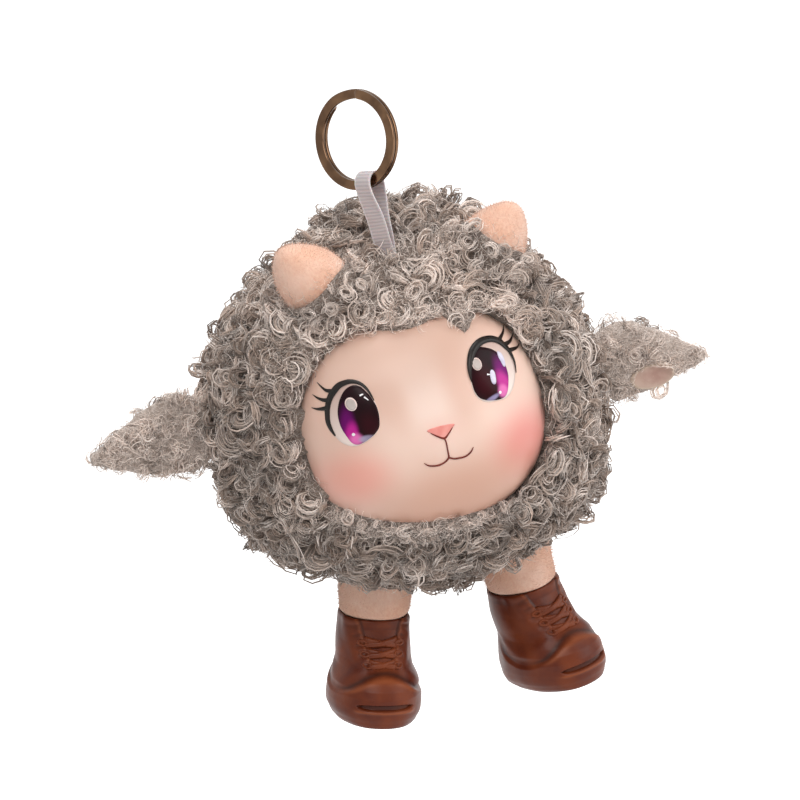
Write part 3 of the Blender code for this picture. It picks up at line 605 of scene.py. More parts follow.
def dome_faces(rings, steps):
    """Faces of a dome with one point on top and rings of points under it, closed below."""
    faces = []
    for i in range(steps):
        j = (i + 1) % steps
        faces.append((0, 1 + j, 1 + i))
        for r in range(rings - 1):
            a, b = 1 + r * steps, 1 + (r + 1) * steps
            faces.append((a + i, a + j, b + j, b + i))
    faces.append(tuple(1 + (rings - 1) * steps + i for i in range(steps)))
    return faces


def paint_patch(outline, lift, rings=10, steps=96):
    """A filled patch of paint or clear coat that follows the face, with its edge sunk into the skin."""
    edge = round_curve(outline, steps, True)
    centre = edge.mean(0)
    flat = np.concatenate([centre[None]] + [centre + (edge - centre) * (r / rings) for r in range(1, rings + 1)])
    top = skin_points(flat[:, 0], flat[:, 1], lift)
    skirt = skin_points(edge[:, 0], edge[:, 1], lift - PAINT_DEPTH)
    return print_map(face_outwards(mesh_from(np.concatenate([top, skirt]), dome_faces(rings + 1, steps))))


def paint_strokes(lines, lift):
    """Brush strokes of changing width that follow the face. Each row is x, z and width."""
    verts, faces = [], []
    for line in lines:
        rows = round_curve(line, 7 * (len(line) - 1) + 2, False)
        middle = rows[:, :2]
        along = np.gradient(middle, axis=0)
        along /= np.linalg.norm(along, axis=1)[:, None]
        across = np.stack([-along[:, 1], along[:, 0]], 1) * (np.maximum(rows[:, 2:3], 0.04) / 2)
        left, right, low = middle + across, middle - across, lift - STROKE_DEPTH
        section = ((left, low), (left, lift), (middle, lift + 0.03), (right, lift), (right, low))
        rings = np.stack([skin_points(flat[:, 0], flat[:, 1], height) for flat, height in section], 1)
        faces += [tuple(len(verts) + v for v in face) for face in loft_faces(len(rows), len(section))]
        verts.extend(rings.reshape(-1, 3))
    return print_map(face_outwards(mesh_from(np.array(verts), faces)))


# Material building blocks


class Nodes:
    """Short ways to add and link the nodes of a tree."""

    def __init__(self, tree):
        self.tree = tree

    def put(self, socket, value):
        if isinstance(value, bpy.types.NodeSocket):
            self.tree.links.new(value, socket)
        elif socket.type == "RGBA" and len(value) == 3:
            socket.default_value = (*value, 1.0)
        else:
            socket.default_value = value

    def add(self, kind, inputs=(), **settings):
        node = self.tree.nodes.new(kind)
        for key, value in settings.items():
            setattr(node, key, value)
        for key, value in dict(inputs).items():
            self.put(node.inputs[key], value)
        return node

    def math(self, operation, a, b=0.0):
        return self.add("ShaderNodeMath", {0: a, 1: b}, operation=operation).outputs[0]

    def fit(self, value, low, high, to_low=0.0, to_high=1.0, **settings):
        inputs = {"Value": value, "From Min": low, "From Max": high, "To Min": to_low, "To Max": to_high}
        return self.add("ShaderNodeMapRange", inputs, **settings).outputs[0]

    def noise(self, where, scale, detail=3.0, rough=0.6):
        inputs = {"Vector": where, "Scale": scale, "Detail": detail, "Roughness": rough}
        return self.add("ShaderNodeTexNoise", inputs).outputs[0]

    def seen_white(self):
        """1 for rays from the camera, from mirrors and through glass."""
        rays = self.add("ShaderNodeLightPath").outputs
        mirrors = self.math("MAXIMUM", rays["Is Glossy Ray"], rays["Is Transmission Ray"])
        return self.math("MAXIMUM", rays["Is Camera Ray"], mirrors)


class Shader(Nodes):
    """A material's nodes round its Principled shader."""

    def __init__(self, name, **values):
        self.material = bpy.data.materials.new(name)
        self.material.use_nodes = True
        super().__init__(self.material.node_tree)
        self.surface = self.tree.nodes["Principled BSDF"]
        for key, value in values.items():
            self.surface.inputs[key.replace("_", " ").title().replace("Ior", "IOR")].default_value = value

    def attribute(self, name):
        return self.add("ShaderNodeAttribute", attribute_name=name).outputs["Fac"]

    def map(self, name):
        return self.add("ShaderNodeUVMap", uv_map=name).outputs[0]

    def group(self, tree, inputs):
        return self.add("ShaderNodeGroup", inputs, node_tree=tree).outputs

    def mix(self, share, low, high, blend="MIX"):
        return self.add("ShaderNodeMix", {0: share, 6: low, 7: high}, data_type="RGBA", blend_type=blend).outputs[2]

    def place(self, scale=(1, 1, 1), turn=(0, 0, 0)):
        where = self.add("ShaderNodeTexCoord").outputs["Object"]
        return self.add("ShaderNodeMapping", {"Vector": where, "Scale": scale, "Rotation": turn}).outputs[0]

    def bump(self, height, strength, distance):
        node = self.add("ShaderNodeBump", {"Strength": strength, "Distance": distance, "Height": height})
        self.put(self.surface.inputs["Normal"], node.outputs[0])

    def colour(self, value):
        self.put(self.surface.inputs["Base Color"], value)

    def rough(self, value):
        self.put(self.surface.inputs["Roughness"], value)


def dim(colour, share):
    return tuple(share * v for v in colour)


def group_tree(name, inputs, outputs, kind="ShaderNodeTree"):
    tree = bpy.data.node_groups.new(name, kind)
    for label, socket_type, default in inputs:
        socket = tree.interface.new_socket(label, in_out="INPUT", socket_type=socket_type)
        if default is not None:
            socket.default_value = default
    for label, socket_type in outputs:
        tree.interface.new_socket(label, in_out="OUTPUT", socket_type=socket_type)
    return Nodes(tree), tree.nodes.new("NodeGroupInput").outputs, tree.nodes.new("NodeGroupOutput").inputs


def soft_spot_group():
    """A soft oval mask on the face's print map, placed and sized in millimetres."""
    number = "NodeSocketFloat"
    n, start, end = group_tree(
        "Soft spot",
        (
            ("Print", "NodeSocketVector", None), ("X", number, 0.0), ("Z", number, 0.0), ("Half width", number, 5.0),
            ("Half height", number, 5.0), ("Turn", number, 0.0), ("Softness", number, 0.5),
        ),
        (("Mask", number),),
    )
    split = n.add("ShaderNodeSeparateXYZ", {0: start["Print"]}).outputs
    x, z = (
        n.math("SUBTRACT", n.math("MULTIPLY", n.math("SUBTRACT", flat, 0.5), PRINT_SPAN), start[label])
        for flat, label in ((split[0], "X"), (split[1], "Z"))
    )
    c, s = n.math("COSINE", start["Turn"]), n.math("SINE", start["Turn"])
    across = n.math("DIVIDE", n.math("ADD", n.math("MULTIPLY", x, c), n.math("MULTIPLY", z, s)), start["Half width"])
    up = n.math("DIVIDE", n.math("SUBTRACT", n.math("MULTIPLY", z, c), n.math("MULTIPLY", x, s)), start["Half height"])
    reach = n.math("SQRT", n.math("ADD", n.math("MULTIPLY", across, across), n.math("MULTIPLY", up, up)))
    near, far = n.math("SUBTRACT", 1.0, start["Softness"]), n.math("ADD", 1.0, start["Softness"])
    n.put(end["Mask"], n.fit(reach, near, far, 1.0, 0.0, interpolation_type="SMOOTHERSTEP"))
    return n.tree


def grain_group():
    """Fine mottling: a height and a mask from two sizes of noise."""
    number = "NodeSocketFloat"
    n, start, end = group_tree(
        "Grain",
        (("Vector", "NodeSocketVector", None), ("Fine", number, 2000.0), ("Broad", number, 200.0)),
        (("Height", number), ("Mottle", number)),
    )
    for scale, output, detail in (("Fine", "Height", 3.0), ("Broad", "Mottle", 2.0)):
        n.put(end[output], n.noise(start["Vector"], start[scale], detail, 0.5))
    return n.tree


GROUPS = {}
FINISHES = {}


def shared(name, make):
    if name not in GROUPS:
        GROUPS[name] = make()
    return GROUPS[name]


def finish(name):
    """A finish by its name, made when it is first asked for."""
    if name not in FINISHES:
        made = paint_finish(name) if name in PAINTS else FINISH_MAKERS[name]()
        FINISHES[name] = made.material
    return FINISHES[name]


def grain(s, fine, broad):
    """The height and the mottling of a fine grain."""
    made = s.group(shared("grain", grain_group), {"Vector": s.place(), "Fine": fine, "Broad": broad})
    return made["Height"], made["Mottle"]


def paint_spots(s, base, rows):
    """Soft spots of paint on a base: x, z, half width, half height, turn, softness, share and colour."""
    uv = s.map("print")
    for x, z, half_width, half_height, turn, softness, share, paint in rows:
        spot = s.group(
            shared("spot", soft_spot_group),
            {
                "Print": uv, "X": x, "Z": z, "Half width": half_width, "Half height": half_height,
                "Turn": math.radians(turn), "Softness": softness,
            },
        )
        paint = tone(paint) if isinstance(paint, str) else paint
        base = s.mix(s.math("MULTIPLY", spot[0], share), base, paint)
    return base


def fur_finish():
    s = Shader("curly fur", roughness=0.46, sheen_weight=0.4, sheen_roughness=0.4, specular_ior_level=0.42)
    along = s.attribute("along")
    shade = s.attribute("shade")
    c = colours()
    # Darker toward the roots: painted shade deep in the pile.
    low = s.mix(s.fit(along, 0.02, 0.42), c.fur_root_shade, c.fur_middle)
    body = s.mix(s.fit(along, 0.45, 1.0), low, c.fur_tip)
    patch = s.noise(s.place(), 90.0, 2.0)
    streak = s.noise(s.place(), 1500.0, 2.0)
    # The palest strands turn toward the tip colour: partly the pile's own light strands, partly painted highlight for
    # the wool's silver glints.
    body = s.mix(s.fit(shade, 0.62, 0.85, 0.0, 0.6), body, c.fur_tip)
    value = s.math("ADD", s.math("MULTIPLY", shade, 0.76), s.fit(patch, 0.3, 0.7, 0.35, 0.79))
    value = s.math("MULTIPLY", value, s.fit(streak, 0.3, 0.7, 0.82, 1.18))
    s.colour(s.mix(1.0, body, s.add("ShaderNodeCombineColor", {0: value, 1: value, 2: value}).outputs[0], "MULTIPLY"))
    s.bump(streak, 0.25, 0.0001)
    return s


def undercoat_finish():
    s = Shader("fur undercoat", roughness=0.9, sheen_weight=0.2, specular_ior_level=0.2)
    c = colours()
    height, mottle = grain(s, 2600.0, 320.0)
    mask = s.math("MULTIPLY", s.fit(height, 0.35, 0.7), s.fit(mottle, 0.3, 0.75, 0.3, 1.0))
    fibre = s.noise(s.place((1.0, 1.0, 3.0), (0.6, 0.3, 0.0)), 1100.0, 4.0, 0.7)
    tint = s.mix(mask, dim(c.fur_middle, 0.42), dim(c.fur_middle, 0.92))
    s.colour(s.mix(s.fit(fibre, 0.52, 0.72), tint, dim(c.fur_tip, 0.9)))
    s.bump(s.math("ADD", height, fibre), 1.0, 0.0008)
    return s


def ear_coat_finish():
    s = Shader("ear coat", roughness=0.85, sheen_weight=0.35, sheen_roughness=0.5, specular_ior_level=0.2)
    c = colours()
    height, mottle = grain(s, 2400.0, 420.0)
    fibre = s.noise(s.place((0.35, 1.0, 1.0), (0.0, 0.3, 0.2)), 1500.0, 4.0, 0.7)
    mask = s.math("MULTIPLY", s.fit(height, 0.3, 0.7), s.fit(mottle, 0.3, 0.7, 0.5, 1.0))
    tint = s.mix(mask, dim(c.fur_middle, 0.85), dim(c.fur_tip, 0.9))
    s.colour(s.mix(s.fit(fibre, 0.46, 0.66), tint, c.fur_tip))
    s.bump(s.math("ADD", height, fibre), 1.0, 0.0006)
    return s


def skin_finish():
    s = Shader(
        "face vinyl", roughness=0.42, coat_weight=0.08, coat_roughness=0.3, subsurface_weight=0.06,
        subsurface_radius=(0.004, 0.0015, 0.0008), subsurface_scale=0.5,
    )
    c = colours()
    height, mottle = grain(s, 1800.0, 60.0)
    base = s.mix(s.fit(mottle, 0.3, 0.7, 0.0, 0.12), c.skin, tone("#e3b29c"))
    base = paint_spots(s, base, (
        # Painted highlight: the pale spot down the nose bridge.
        (0.5, 6.0, 5.0, 13.0, 0, 0.8, 0.30, "#fdeee6"),
        # Painted shade: darker inner eye corners and a darker ring round each eye socket.
        (-9.3, 11.0, 3.6, 8.0, 8, 0.85, 0.34, "#cf9d88"),
        (9.2, 9.0, 4.2, 10.0, -8, 0.95, 0.34, "#c9947e"),
        (-19.0, 9.6, 8.5, 10.0, 0, 0.5, 0.22, "#d7a793"),
        (19.0, 8.5, 8.2, 9.8, 0, 0.5, 0.22, "#d7a793"),
        (-22.6, -6.6, 8.0, 6.2, -12, 0.95, 0.62, "#f08f7f"),
        (21.4, -11.5, 8.6, 7.4, 22, 0.95, 0.80, c.blush),
        (0.6, -1.2, 4.6, 3.2, 0, 0.9, 0.22, "#e9a594"),
        # Painted shade: the chin turning down, the brow under the fringe and the left rim.
        (0.0, -19.5, 21.0, 10.5, 0, 0.9, 0.66, "#cb8f72"),
        (3.0, 20.5, 21.0, 9.5, 6, 0.9, 0.66, "#bf9884"),
        (-27.0, 8.0, 6.0, 16.0, 0, 0.9, 0.30, "#d0a08a"),
    ))
    s.colour(base)
    s.rough(s.fit(mottle, 0.3, 0.7, 0.38, 0.47))
    s.bump(height, 0.06, 0.0001)
    return s


def eye_white_finish():
    s = Shader("eye white", roughness=0.25, coat_weight=0.1, coat_roughness=0.1, specular_ior_level=0.3)
    split = s.add("ShaderNodeSeparateXYZ", {0: s.map("print")})
    rise = s.math("MULTIPLY", s.math("SUBTRACT", split.outputs[1], 0.5), PRINT_SPAN)
    base = s.mix(s.fit(rise, 2.0, 15.0), tone("#fbece4"), tone("#bfa39a"))
    mottle = grain(s, 900.0, 300.0)[1]
    s.colour(s.mix(s.fit(mottle, 0.3, 0.7, 0.0, 0.15), base, tone("#d8b8a8")))
    return s


def iris_finish():
    s = Shader("eye iris", roughness=0.3, coat_weight=0.03, coat_roughness=0.1, specular_ior_level=0.1)
    mottle = grain(s, 1500.0, 500.0)[1]
    base = s.mix(s.fit(mottle, 0.3, 0.7, 0.0, 0.5), tone("#140003"), tone("#24000c"))
    base = paint_spots(s, base, (
        (-20.4, 6.0, 1.7, 5.0, -12, 0.6, 0.92, "#6a0a66"),
        (-20.0, 4.4, 1.4, 3.0, -18, 0.6, 0.92, "#c42a96"),
        (-19.3, 3.0, 1.5, 1.5, 0, 0.6, 0.85, "#ee7cc2"),
        (-16.6, 2.5, 2.1, 0.9, -12, 0.45, 0.85, "#aca3c2"),
        (-15.2, 5.4, 2.0, 3.0, 0, 0.8, 0.40, "#3c0412"),
        (20.7, 5.8, 1.9, 4.6, 8, 0.6, 0.95, "#780a70"),
        (19.9, 4.2, 1.6, 3.2, 12, 0.6, 0.92, "#cc3a9c"),
        (19.0, 2.6, 1.3, 1.6, 0, 0.5, 0.90, "#ec7cc0"),
        (15.3, 1.8, 2.4, 0.6, 14, 0.5, 0.85, "#aaa2cc"),
        (15.3, 6.2, 2.6, 3.6, 0, 0.8, 0.40, "#4a0413"),
    ))
    s.colour(base)
    return s


PAINTS = {
    "lash paint": ("#0b0605", "#1c120e", 0.32),
    "glint paint": ("#b4a8a2", "#c9bfba", 0.2),
    "rim paint": ("#ecd0c8", "#f4e0da", 0.25),
    "bright paint": ("#f6f2f6", "#ffffff", 0.2),
    # Lilac paint is used only for the painted reflections on the right eye.
    "lilac paint": ("#b9b2d2", "#e4e0ee", 0.2),
    "nose paint": ("#e58a82", "#f0a59a", 0.4),
    "mouth paint": ("#5f2018", "#7a2c20", 0.4),
}


def paint_finish(name):
    low, high, roughness = PAINTS[name]
    s = Shader(name, roughness=roughness, coat_weight=0.05, coat_roughness=0.2, specular_ior_level=0.25)
    height, mottle = grain(s, 1200.0, 420.0)
    s.colour(s.mix(s.fit(mottle, 0.3, 0.7), tone(low), tone(high)))
    s.rough(s.fit(height, 0.3, 0.7, roughness * 0.85, roughness * 1.15))
    return s


def pink_plush_finish():
    s = Shader(
        "pink plush", roughness=0.85, sheen_weight=0.5, sheen_roughness=0.4, sheen_tint=(1.0, 0.93, 0.88, 1.0),
        specular_ior_level=0.2,
    )
    c = colours()
    streak = s.noise(s.place((1.0, 1.0, 0.55)), 1700.0, 4.0, 0.7)
    patch = s.noise(s.place(), 130.0, 2.0)
    low = s.mix(s.fit(streak, 0.3, 0.7), tone("#e4ad93"), c.plush)
    s.colour(s.mix(s.fit(patch, 0.35, 0.7, 0.0, 0.5), low, tone("#f8dccd")))
    s.bump(streak, 0.55, 0.0003)
    return s


def lining_finish():
    s = Shader("ear lining", roughness=0.88, sheen_weight=0.3, sheen_roughness=0.4, specular_ior_level=0.2)
    height, mottle = grain(s, 1600.0, 260.0)
    rim = s.attribute("rim")
    base = s.mix(s.fit(mottle, 0.3, 0.7), tone("#ae8d82"), tone("#c4a99c"))
    s.colour(s.mix(s.math("MULTIPLY", rim, 0.85), base, tone("#dccbb8")))
    s.bump(height, 0.4, 0.0002)
    return s


def nap_finish():
    s = Shader("plush nap", roughness=0.8, sheen_weight=0.4, sheen_roughness=0.4, specular_ior_level=0.25)
    along = s.attribute("along")
    shade = s.attribute("shade")
    c = colours()
    base = s.mix(s.fit(along, 0.0, 0.9), tone("#e8b49b"), c.plush)
    s.colour(s.mix(s.fit(shade, 0.3, 1.0, 0.0, 0.4), base, tone("#fae2d4")))
    return s


def boot_finish():
    s = Shader("boot vinyl", roughness=0.42, coat_weight=0.03, coat_roughness=0.25, specular_ior_level=0.22)
    c = colours()
    height, mottle = grain(s, 1500.0, 160.0)
    crease_shade = s.attribute("crease_shade")
    edge = s.attribute("edge")
    base = s.mix(s.fit(mottle, 0.3, 0.72, 0.0, 0.7), c.boot, tone("#7c3a1a"))
    # The edge mark lightens ridges and the lip under the slot: partly worn vinyl, partly painted highlight.
    base = s.mix(s.math("MULTIPLY", edge, 0.55), base, tone("#a35a35"))
    # Painted shade: the crease mark darkens creases, folds, the slot, the heel groove, the band under the top and the
    # inside of the mouth.
    s.colour(s.mix(s.math("MULTIPLY", crease_shade, 0.8), base, tone("#2a0e06")))
    s.rough(s.fit(mottle, 0.3, 0.7, 0.36, 0.48))
    s.bump(height, 0.14, 0.0002)
    return s


def ribbon_finish():
    s = Shader(
        "satin ribbon", roughness=0.38, sheen_weight=0.3, sheen_roughness=0.3, subsurface_weight=0.15,
        subsurface_scale=0.001,
    )
    c = colours()
    split = s.add("ShaderNodeSeparateXYZ", {0: s.map("ribbon")})
    turns = s.math("MULTIPLY", split.outputs[1], 2 * math.pi * MM / sizes().rib_spacing)
    rib = s.fit(s.math("SINE", turns), -1.0, 1.0)
    thread = s.fit(s.math("SINE", s.math("MULTIPLY", split.outputs[0], 2 * math.pi / 0.22)), -1.0, 1.0)
    selvage = s.fit(s.math("ABSOLUTE", split.outputs[0]), RIBBON_HALF - 0.5, RIBBON_HALF - 0.3)
    base = s.mix(s.fit(rib, 0.0, 1.0, 0.0, 0.5), c.ribbon, tone("#a79fa6"))
    base = s.mix(s.math("MULTIPLY", selvage, 0.6), base, tone("#e9e4e6"))
    s.colour(s.mix(s.math("MULTIPLY", thread, 0.18), base, tone("#8f878e")))
    s.bump(s.math("ADD", s.math("MULTIPLY", rib, 0.7), s.math("MULTIPLY", thread, 0.3)), 0.5, 0.00012)
    return s


def steel_finish():
    s = Shader("ring steel", roughness=0.16, metallic=1.0)
    c = colours()
    height, mottle = grain(s, 1600.0, 240.0)
    # The brown base colour is painted reflection of brownish surroundings.
    s.colour(s.mix(s.fit(mottle, 0.35, 0.7), c.steel, tone("#7a5e47")))
    s.rough(s.fit(height, 0.3, 0.7, 0.12, 0.20))
    s.bump(height, 0.05, 0.00005)
    return s


FINISH_MAKERS = {
    "ear coat": ear_coat_finish,
    "fur": fur_finish,
    "undercoat": undercoat_finish,
    "skin": skin_finish,
    "eye white": eye_white_finish,
    "iris": iris_finish,
    "pink plush": pink_plush_finish,
    "ear lining": lining_finish,
    "nap": nap_finish,
    "boot": boot_finish,
    "ribbon": ribbon_finish,
    "steel": steel_finish,
}


# Curly pile


def tube(points, radii, flat=1.0):
    """A three-sided strand: 3 points a ring, closed at both ends, wider across than it is thick."""
    count = len(points)
    tangents = np.gradient(points, axis=0)
    tangents /= np.linalg.norm(tangents, axis=1)[:, None]
    side = np.array((1.0, 0.0, 0.0))
    rings = []
    for i in range(count):
        side = side - tangents[i] * side.dot(tangents[i])
        if np.linalg.norm(side) < 1e-6:
            side = np.cross(tangents[i], (0.0, 0.37, 0.93))
        side = side / np.linalg.norm(side)
        other = np.cross(tangents[i], side)
        for k in range(3):
            turn = 2 * math.pi * k / 3
            rings.append(points[i] + (side * math.cos(turn) * flat + other * math.sin(turn) / flat) * radii[i])
    return np.array(rings), loft_faces(count, 3)


CURL_STEPS = 10
FORM_STRANDS = 6
HAIR_FORMS = 12
# Each form's turns, its width and rise as shares of the curl's radius, and its tilt in degrees
CURL_FORMS = ((1.25, 1.0, 0.75, 4), (1.12, 1.0, 0.80, 34), (1.05, 0.92, 0.85, 72), (0.72, 1.35, 0.7, 22))


def curl_path(form, k, radius, dice):
    """One strand of a lock: up from its root, then round a ring that all the lock's strands share."""
    turns, width, rise, tilt = CURL_FORMS[form]
    s = np.linspace(0, 1, CURL_STEPS + 1)
    ring = radius * (0.50 + 0.50 * k / (FORM_STRANDS - 1)) * width
    turns = turns * (1.0 + 0.12 * dice.uniform(-1, 1)) * 2 * math.pi
    lift = radius * rise + 0.35 * dice.uniform(-1, 1) * MM
    grow = smooth(s / 0.24)
    shrink = 1 - 0.22 * s
    angle = dice.uniform(-0.18, 0.18) + turns * s
    flat = np.stack([np.cos(angle) - 1 + 0.4 * (1 - grow), np.sin(angle), np.zeros_like(s)], 1)
    flat = flat * (ring * grow * shrink)[:, None]
    flat[:, 0] += ring * 0.75 * grow
    flat[:, 2] += 0.22 * MM * np.sin(angle * 1.5 + dice.uniform(0, 6)) + (s - 0.5) * 0.9 * MM * dice.uniform(0.3, 1)
    c, t = math.cos(math.radians(tilt)), math.sin(math.radians(tilt))
    y = flat[:, 1] * c - flat[:, 2] * t
    z = flat[:, 1] * t + flat[:, 2] * c
    stem = lift * smooth(s / 0.22)
    return np.stack([flat[:, 0], y, z * grow + stem + 0.05 * MM], 1)


def frizz_path(dice):
    """One loose fine hair."""
    s = np.linspace(0, 1, 5)
    lean = dice.uniform(0, 2 * math.pi)
    drift = dice.uniform(2.2, 4.4) * MM
    x = math.cos(lean) * drift * s + 0.55 * MM * np.sin(s * dice.uniform(4, 7) + dice.uniform(0, 6))
    y = math.sin(lean) * drift * s + 0.55 * MM * np.sin(s * dice.uniform(4, 7) + dice.uniform(0, 6))
    z = dice.uniform(1.6, 5.6) * MM * np.sin(np.clip(s * 1.3, 0, 1) * math.pi / 2) + 0.25 * MM * np.sin(s * 7)
    grow = smooth(s / 0.15)
    return np.stack([x * grow, y * grow, z], 1)


def wisp_path(dice):
    """A wavy strand that lies along the surface and turns in at its end."""
    s = np.linspace(0, 1, CURL_STEPS + 1)
    span = dice.uniform(5.0, 8.5) * MM
    bend = dice.uniform(-0.9, 0.9)
    turned_in = np.sign(bend) * 2.4 * np.clip(s - 0.6, 0, 1) / 0.4
    heading = bend * s + 0.5 * np.sin(s * dice.uniform(6, 10) + dice.uniform(0, 6)) + turned_in
    x = np.concatenate([[0], np.cumsum(np.cos(heading[1:]))]) * span / CURL_STEPS
    y = np.concatenate([[0], np.cumsum(np.sin(heading[1:]))]) * span / CURL_STEPS
    z = dice.uniform(0.7, 1.9) * MM * smooth(s / 0.2) + 0.25 * MM * np.sin(s * 9 + dice.uniform(0, 6))
    return np.stack([x, y, z], 1)


def hanging_path(k):
    """One strand of the lock that hangs under the right ear: down, then round towards the root."""
    s = np.linspace(0, 1, CURL_STEPS + 1)
    ring = (1.35 + 0.10 * k) * MM
    drop = 2.4 * MM * np.clip(s / 0.15, 0, 1)
    turn = 2.5 * math.pi * np.clip((s - 0.15) / 0.85, 0, 1)
    reach = ring * (1 - 0.3 * np.clip((s - 0.4) / 0.6, 0, 1))
    return np.stack([reach * np.cos(turn) - ring, 0.05 * MM * (k - 5) + 0.4 * MM * s, -drop - reach * np.sin(turn)], 1)


def nap_paths(seed):
    dice = np.random.default_rng(seed)
    return [nap_path(dice) for _ in range(FORM_STRANDS)]


def nap_path(dice):
    """One short hair of the plush."""
    s = np.linspace(0, 1, 3)
    lean = dice.uniform(0.25, 0.6)
    height = dice.uniform(0.40, 0.70) * MM
    return np.stack([lean * height * s * s, 0.1 * height * s * dice.uniform(-1, 1), height * s], 1)


def strand_forms(name, paths, radius, tip_share, flat=1.0):
    """A collection of strand meshes for the pile tree to pick from."""
    group = bpy.data.collections.new(name)
    bpy.context.scene.collection.children.link(group)
    for number, path in enumerate(paths):
        s = np.linspace(0, 1, len(path))
        radii = radius * np.where(s < 0.5, 0.8 + 0.4 * s, 1.0 - (1.0 - tip_share) * ((s - 0.5) / 0.5) ** 2)
        verts, faces = tube(path, radii, flat)
        mesh = mesh_from(verts, faces)
        mark(mesh, "along", np.repeat(s, 3))
        group.objects.link(bpy.data.objects.new(f"{name} {number:02d}", mesh))
    return group


def pile_tree():
    """Locks of strands set over a surface. All of a lock's strands share its turn and form."""
    number, whole, surface = "NodeSocketFloat", "NodeSocketInt", "NodeSocketGeometry"
    n, start, end = group_tree(
        "Curly pile",
        (
            ("Geometry", surface, None), ("Strands", "NodeSocketCollection", None),
            ("Finish", "NodeSocketMaterial", None), ("Lock spacing", number, 0.0035), ("Strands in a lock", whole, 7),
            ("Lock forms", whole, 4), ("Strands in a form", whole, FORM_STRANDS), ("Lock lean", number, 0.35),
            ("Lock spin", number, math.pi), ("Strand spread", number, 0.00045), ("Strand turn", number, 0.09),
            ("Smallest", number, 0.8), ("Largest", number, 1.2), ("Seed", whole, 1),
        ),
        (("Geometry", surface),),
        "GeometryNodeTree",
    )

    def vector(x, y, z):
        return n.add("ShaderNodeCombineXYZ", {0: x, 1: y, 2: z}).outputs[0]

    def dice(kind, low, high, seed_step, same=None):
        first, last, out = {"FLOAT_VECTOR": (0, 1, 0), "FLOAT": (2, 3, 1), "INT": (4, 5, 2)}[kind]
        inputs = {first: low, last: high, 8: n.math("ADD", start["Seed"], float(seed_step))}
        if same is not None:
            inputs[7] = same
        return n.add("FunctionNodeRandomValue", inputs, data_type=kind).outputs[out]

    def around(x, y, z, seed_step, same=None):
        low = vector(*(n.math("MULTIPLY", v, -1.0) for v in (x, y, z)))
        return dice("FLOAT_VECTOR", low, vector(x, y, z), seed_step, same)

    def turned(rotation, angles):
        by = n.add("FunctionNodeEulerToRotation", {0: angles}).outputs[0]
        inputs = {"Rotation": rotation, "Rotate By": by}
        return n.add("FunctionNodeRotateRotation", inputs, rotation_space="LOCAL").outputs[0]

    def stored(geometry, name, value, kind, domain):
        inputs = {"Geometry": geometry, "Name": name, "Value": value}
        return n.add("GeometryNodeStoreNamedAttribute", inputs, data_type=kind, domain=domain).outputs[0]

    spacing = start["Lock spacing"]
    most = n.math("DIVIDE", 3.0, n.math("MULTIPLY", spacing, spacing))
    points = n.add(
        "GeometryNodeDistributePointsOnFaces",
        {"Mesh": start["Geometry"], "Distance Min": spacing, "Density Max": most, "Seed": start["Seed"]},
        distribute_method="POISSON",
    ).outputs
    kept = stored(points["Points"], "lock", n.add("GeometryNodeInputIndex").outputs[0], "INT", "POINT")
    doubled = n.add(
        "GeometryNodeDuplicateElements", {"Geometry": kept, "Amount": start["Strands in a lock"]}, domain="POINT"
    )
    lock = n.add("GeometryNodeInputNamedAttribute", {"Name": "lock"}, data_type="INT").outputs[0]
    spread, lean, small = start["Strand spread"], start["Lock lean"], start["Strand turn"]
    away = around(spread, spread, spread, 11)
    moved = n.add("GeometryNodeSetPosition", {"Geometry": doubled.outputs[0], "Offset": away})
    rotation = turned(points["Rotation"], around(lean, lean, start["Lock spin"], 12, lock))
    rotation = turned(rotation, around(small, small, small, 13))
    form = dice("INT", 0, n.math("SUBTRACT", start["Lock forms"], 1.0), 14, lock)
    strand = dice("INT", 0, n.math("SUBTRACT", start["Strands in a form"], 1.0), 15)
    choice = n.math("ADD", n.math("MULTIPLY", form, start["Strands in a form"]), strand)
    size = n.math(
        "MULTIPLY", dice("FLOAT", start["Smallest"], start["Largest"], 16, lock), dice("FLOAT", 0.9, 1.1, 17)
    )
    picked = n.add(
        "GeometryNodeCollectionInfo",
        {"Collection": start["Strands"], "Separate Children": True, "Reset Children": True},
    )
    placed = n.add(
        "GeometryNodeInstanceOnPoints",
        {
            "Points": moved.outputs[0], "Instance": picked.outputs[0], "Pick Instance": True, "Instance Index": choice,
            "Rotation": rotation, "Scale": vector(size, size, size),
        },
    )
    lock_tint = n.math("MULTIPLY", dice("FLOAT", 0.0, 1.0, 18, lock), 0.55)
    tint = n.math("ADD", lock_tint, n.math("MULTIPLY", dice("FLOAT", 0.0, 1.0, 19), 0.45))
    tinted = stored(placed.outputs[0], "shade", tint, "FLOAT", "INSTANCE")
    real = n.add("GeometryNodeRealizeInstances", {"Geometry": tinted})
    done = n.add("GeometryNodeSetMaterial", {"Geometry": real.outputs[0], "Material": start["Finish"]})
    n.put(end["Geometry"], done.outputs[0])
    return n.tree


